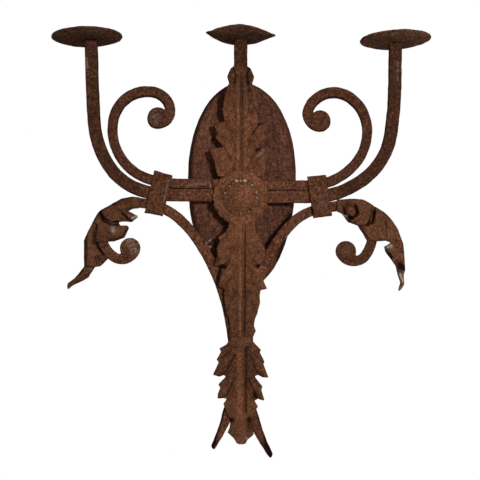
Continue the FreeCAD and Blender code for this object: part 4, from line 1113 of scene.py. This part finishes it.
# A key light from the right and a little above, small enough to leave crisp shadows on the plate, a dim one
# from above, and wide dim ones for the sides and the back that the photograph's camera doesn't see: name,
# degrees to the right of the camera, degrees up, distance and width in metres, and watts.
LAMPS = [
    ("key_light", 22, 9, 2.2, 0.22, 39.0),
    ("top_light", -20, 62, 2.0, 1.2, 5.0),
    ("left_fill", -104, 14, 2.4, 1.6, 9.0),
    ("right_fill", 112, 14, 2.4, 1.6, 9.0),
    ("back_fill", 180, 20, 2.4, 1.6, 16.0),
]
# The point that the lamps are turned to, in metres.
LIT_POINT = Vector((0, -0.04, -0.06))


def hang_lamps(context):
    """Round soft lamps, all turned to the middle of the object."""
    for name, azimuth, elevation, distance, size, watts in LAMPS:
        lamp = bpy.data.lights.new(name, "AREA")
        lamp.shape = "DISK"
        lamp.size = size
        lamp.energy = watts
        holder = bpy.data.objects.new(name, lamp)
        turn, rise = math.radians(azimuth), math.radians(elevation)
        level = math.cos(rise)
        towards = Vector((math.sin(turn) * level, -math.cos(turn) * level, math.sin(rise)))
        holder.location = LIT_POINT + towards * distance
        holder.rotation_euler = towards.to_track_quat("Z", "Y").to_euler()
        context.scene.collection.objects.link(holder)


# Strength of the world's even light on the object.
WORLD_FILL = 0.15


def light_world(context):
    """White wherever it is seen, mirrored or looked through, and a dim even fill for everything else."""
    world = bpy.data.worlds.new("studio_white")
    world.use_nodes = True
    tree = world.node_tree
    tree.nodes.clear()
    path = add_node(tree, "ShaderNodeLightPath")
    shown = maths(tree, "MAXIMUM", path.outputs["Is Camera Ray"], path.outputs["Is Glossy Ray"])
    shown = maths(tree, "MAXIMUM", shown, path.outputs["Is Transmission Ray"])
    strength = add_node(
        tree, "ShaderNodeMapRange", {"Value": shown, "To Min": WORLD_FILL, "To Max": 1.0}
    ).outputs["Result"]
    light = add_node(tree, "ShaderNodeBackground", {"Color": (1.0, 1.0, 1.0, 1.0), "Strength": strength})
    add_node(tree, "ShaderNodeOutputWorld", {"Surface": light.outputs["Background"]})
    context.scene.world = world


def place_camera(context):
    """The camera at which the photograph's pixels are placed on the object."""
    lens = bpy.data.cameras.new("photograph_camera")
    lens.sensor_width = SENSOR_MM
    lens.lens = FOCAL_PX / FRAME_PX * SENSOR_MM
    camera = bpy.data.objects.new("photograph_camera", lens)
    camera.location = CAMERA_MM * MM
    camera.rotation_euler = (math.radians(90), 0, 0)
    context.scene.collection.objects.link(camera)
    context.scene.camera = camera


class SCONCE_PT_sidebar(bpy.types.Panel):
    """Lists the sconce's pieces in the order they are made"""

    bl_idname = "SCONCE_PT_sidebar"
    bl_label = "Torch Sconce"
    bl_space_type = "VIEW_3D"
    bl_region_type = "UI"
    bl_category = "Sconce"

    def draw(self, context):
        for group in (context.scene.sconce_forging, context.scene.sconce_colours):
            for name in group.__annotations__:
                self.layout.prop(group, name)
        for operator in OPERATORS:
            self.layout.operator(operator.bl_idname)


OPERATORS = [
    SCONCE_OT_back_plate, SCONCE_OT_bars, SCONCE_OT_collars, SCONCE_OT_pans, SCONCE_OT_main_leaves,
    SCONCE_OT_side_leaves, SCONCE_OT_rosette, SCONCE_OT_fasteners, SCONCE_OT_studio,
]
CLASSES = [SconceForging, SconceColours, *OPERATORS, SCONCE_PT_sidebar]


def register():
    for kind in CLASSES:
        bpy.utils.register_class(kind)
    bpy.types.Scene.sconce_forging = PointerProperty(type=SconceForging)
    bpy.types.Scene.sconce_colours = PointerProperty(type=SconceColours)


def unregister():
    del bpy.types.Scene.sconce_colours
    del bpy.types.Scene.sconce_forging
    for kind in reversed(CLASSES):
        bpy.utils.unregister_class(kind)


def main():
    register()
    bpy.ops.sconce.back_plate()
    bpy.ops.sconce.bars()
    bpy.ops.sconce.collars()
    bpy.ops.sconce.pans()
    bpy.ops.sconce.main_leaves()
    bpy.ops.sconce.side_leaves()
    bpy.ops.sconce.rosette()
    bpy.ops.sconce.fasteners()
    bpy.ops.sconce.studio()


if __name__ == "__main__":
    main()
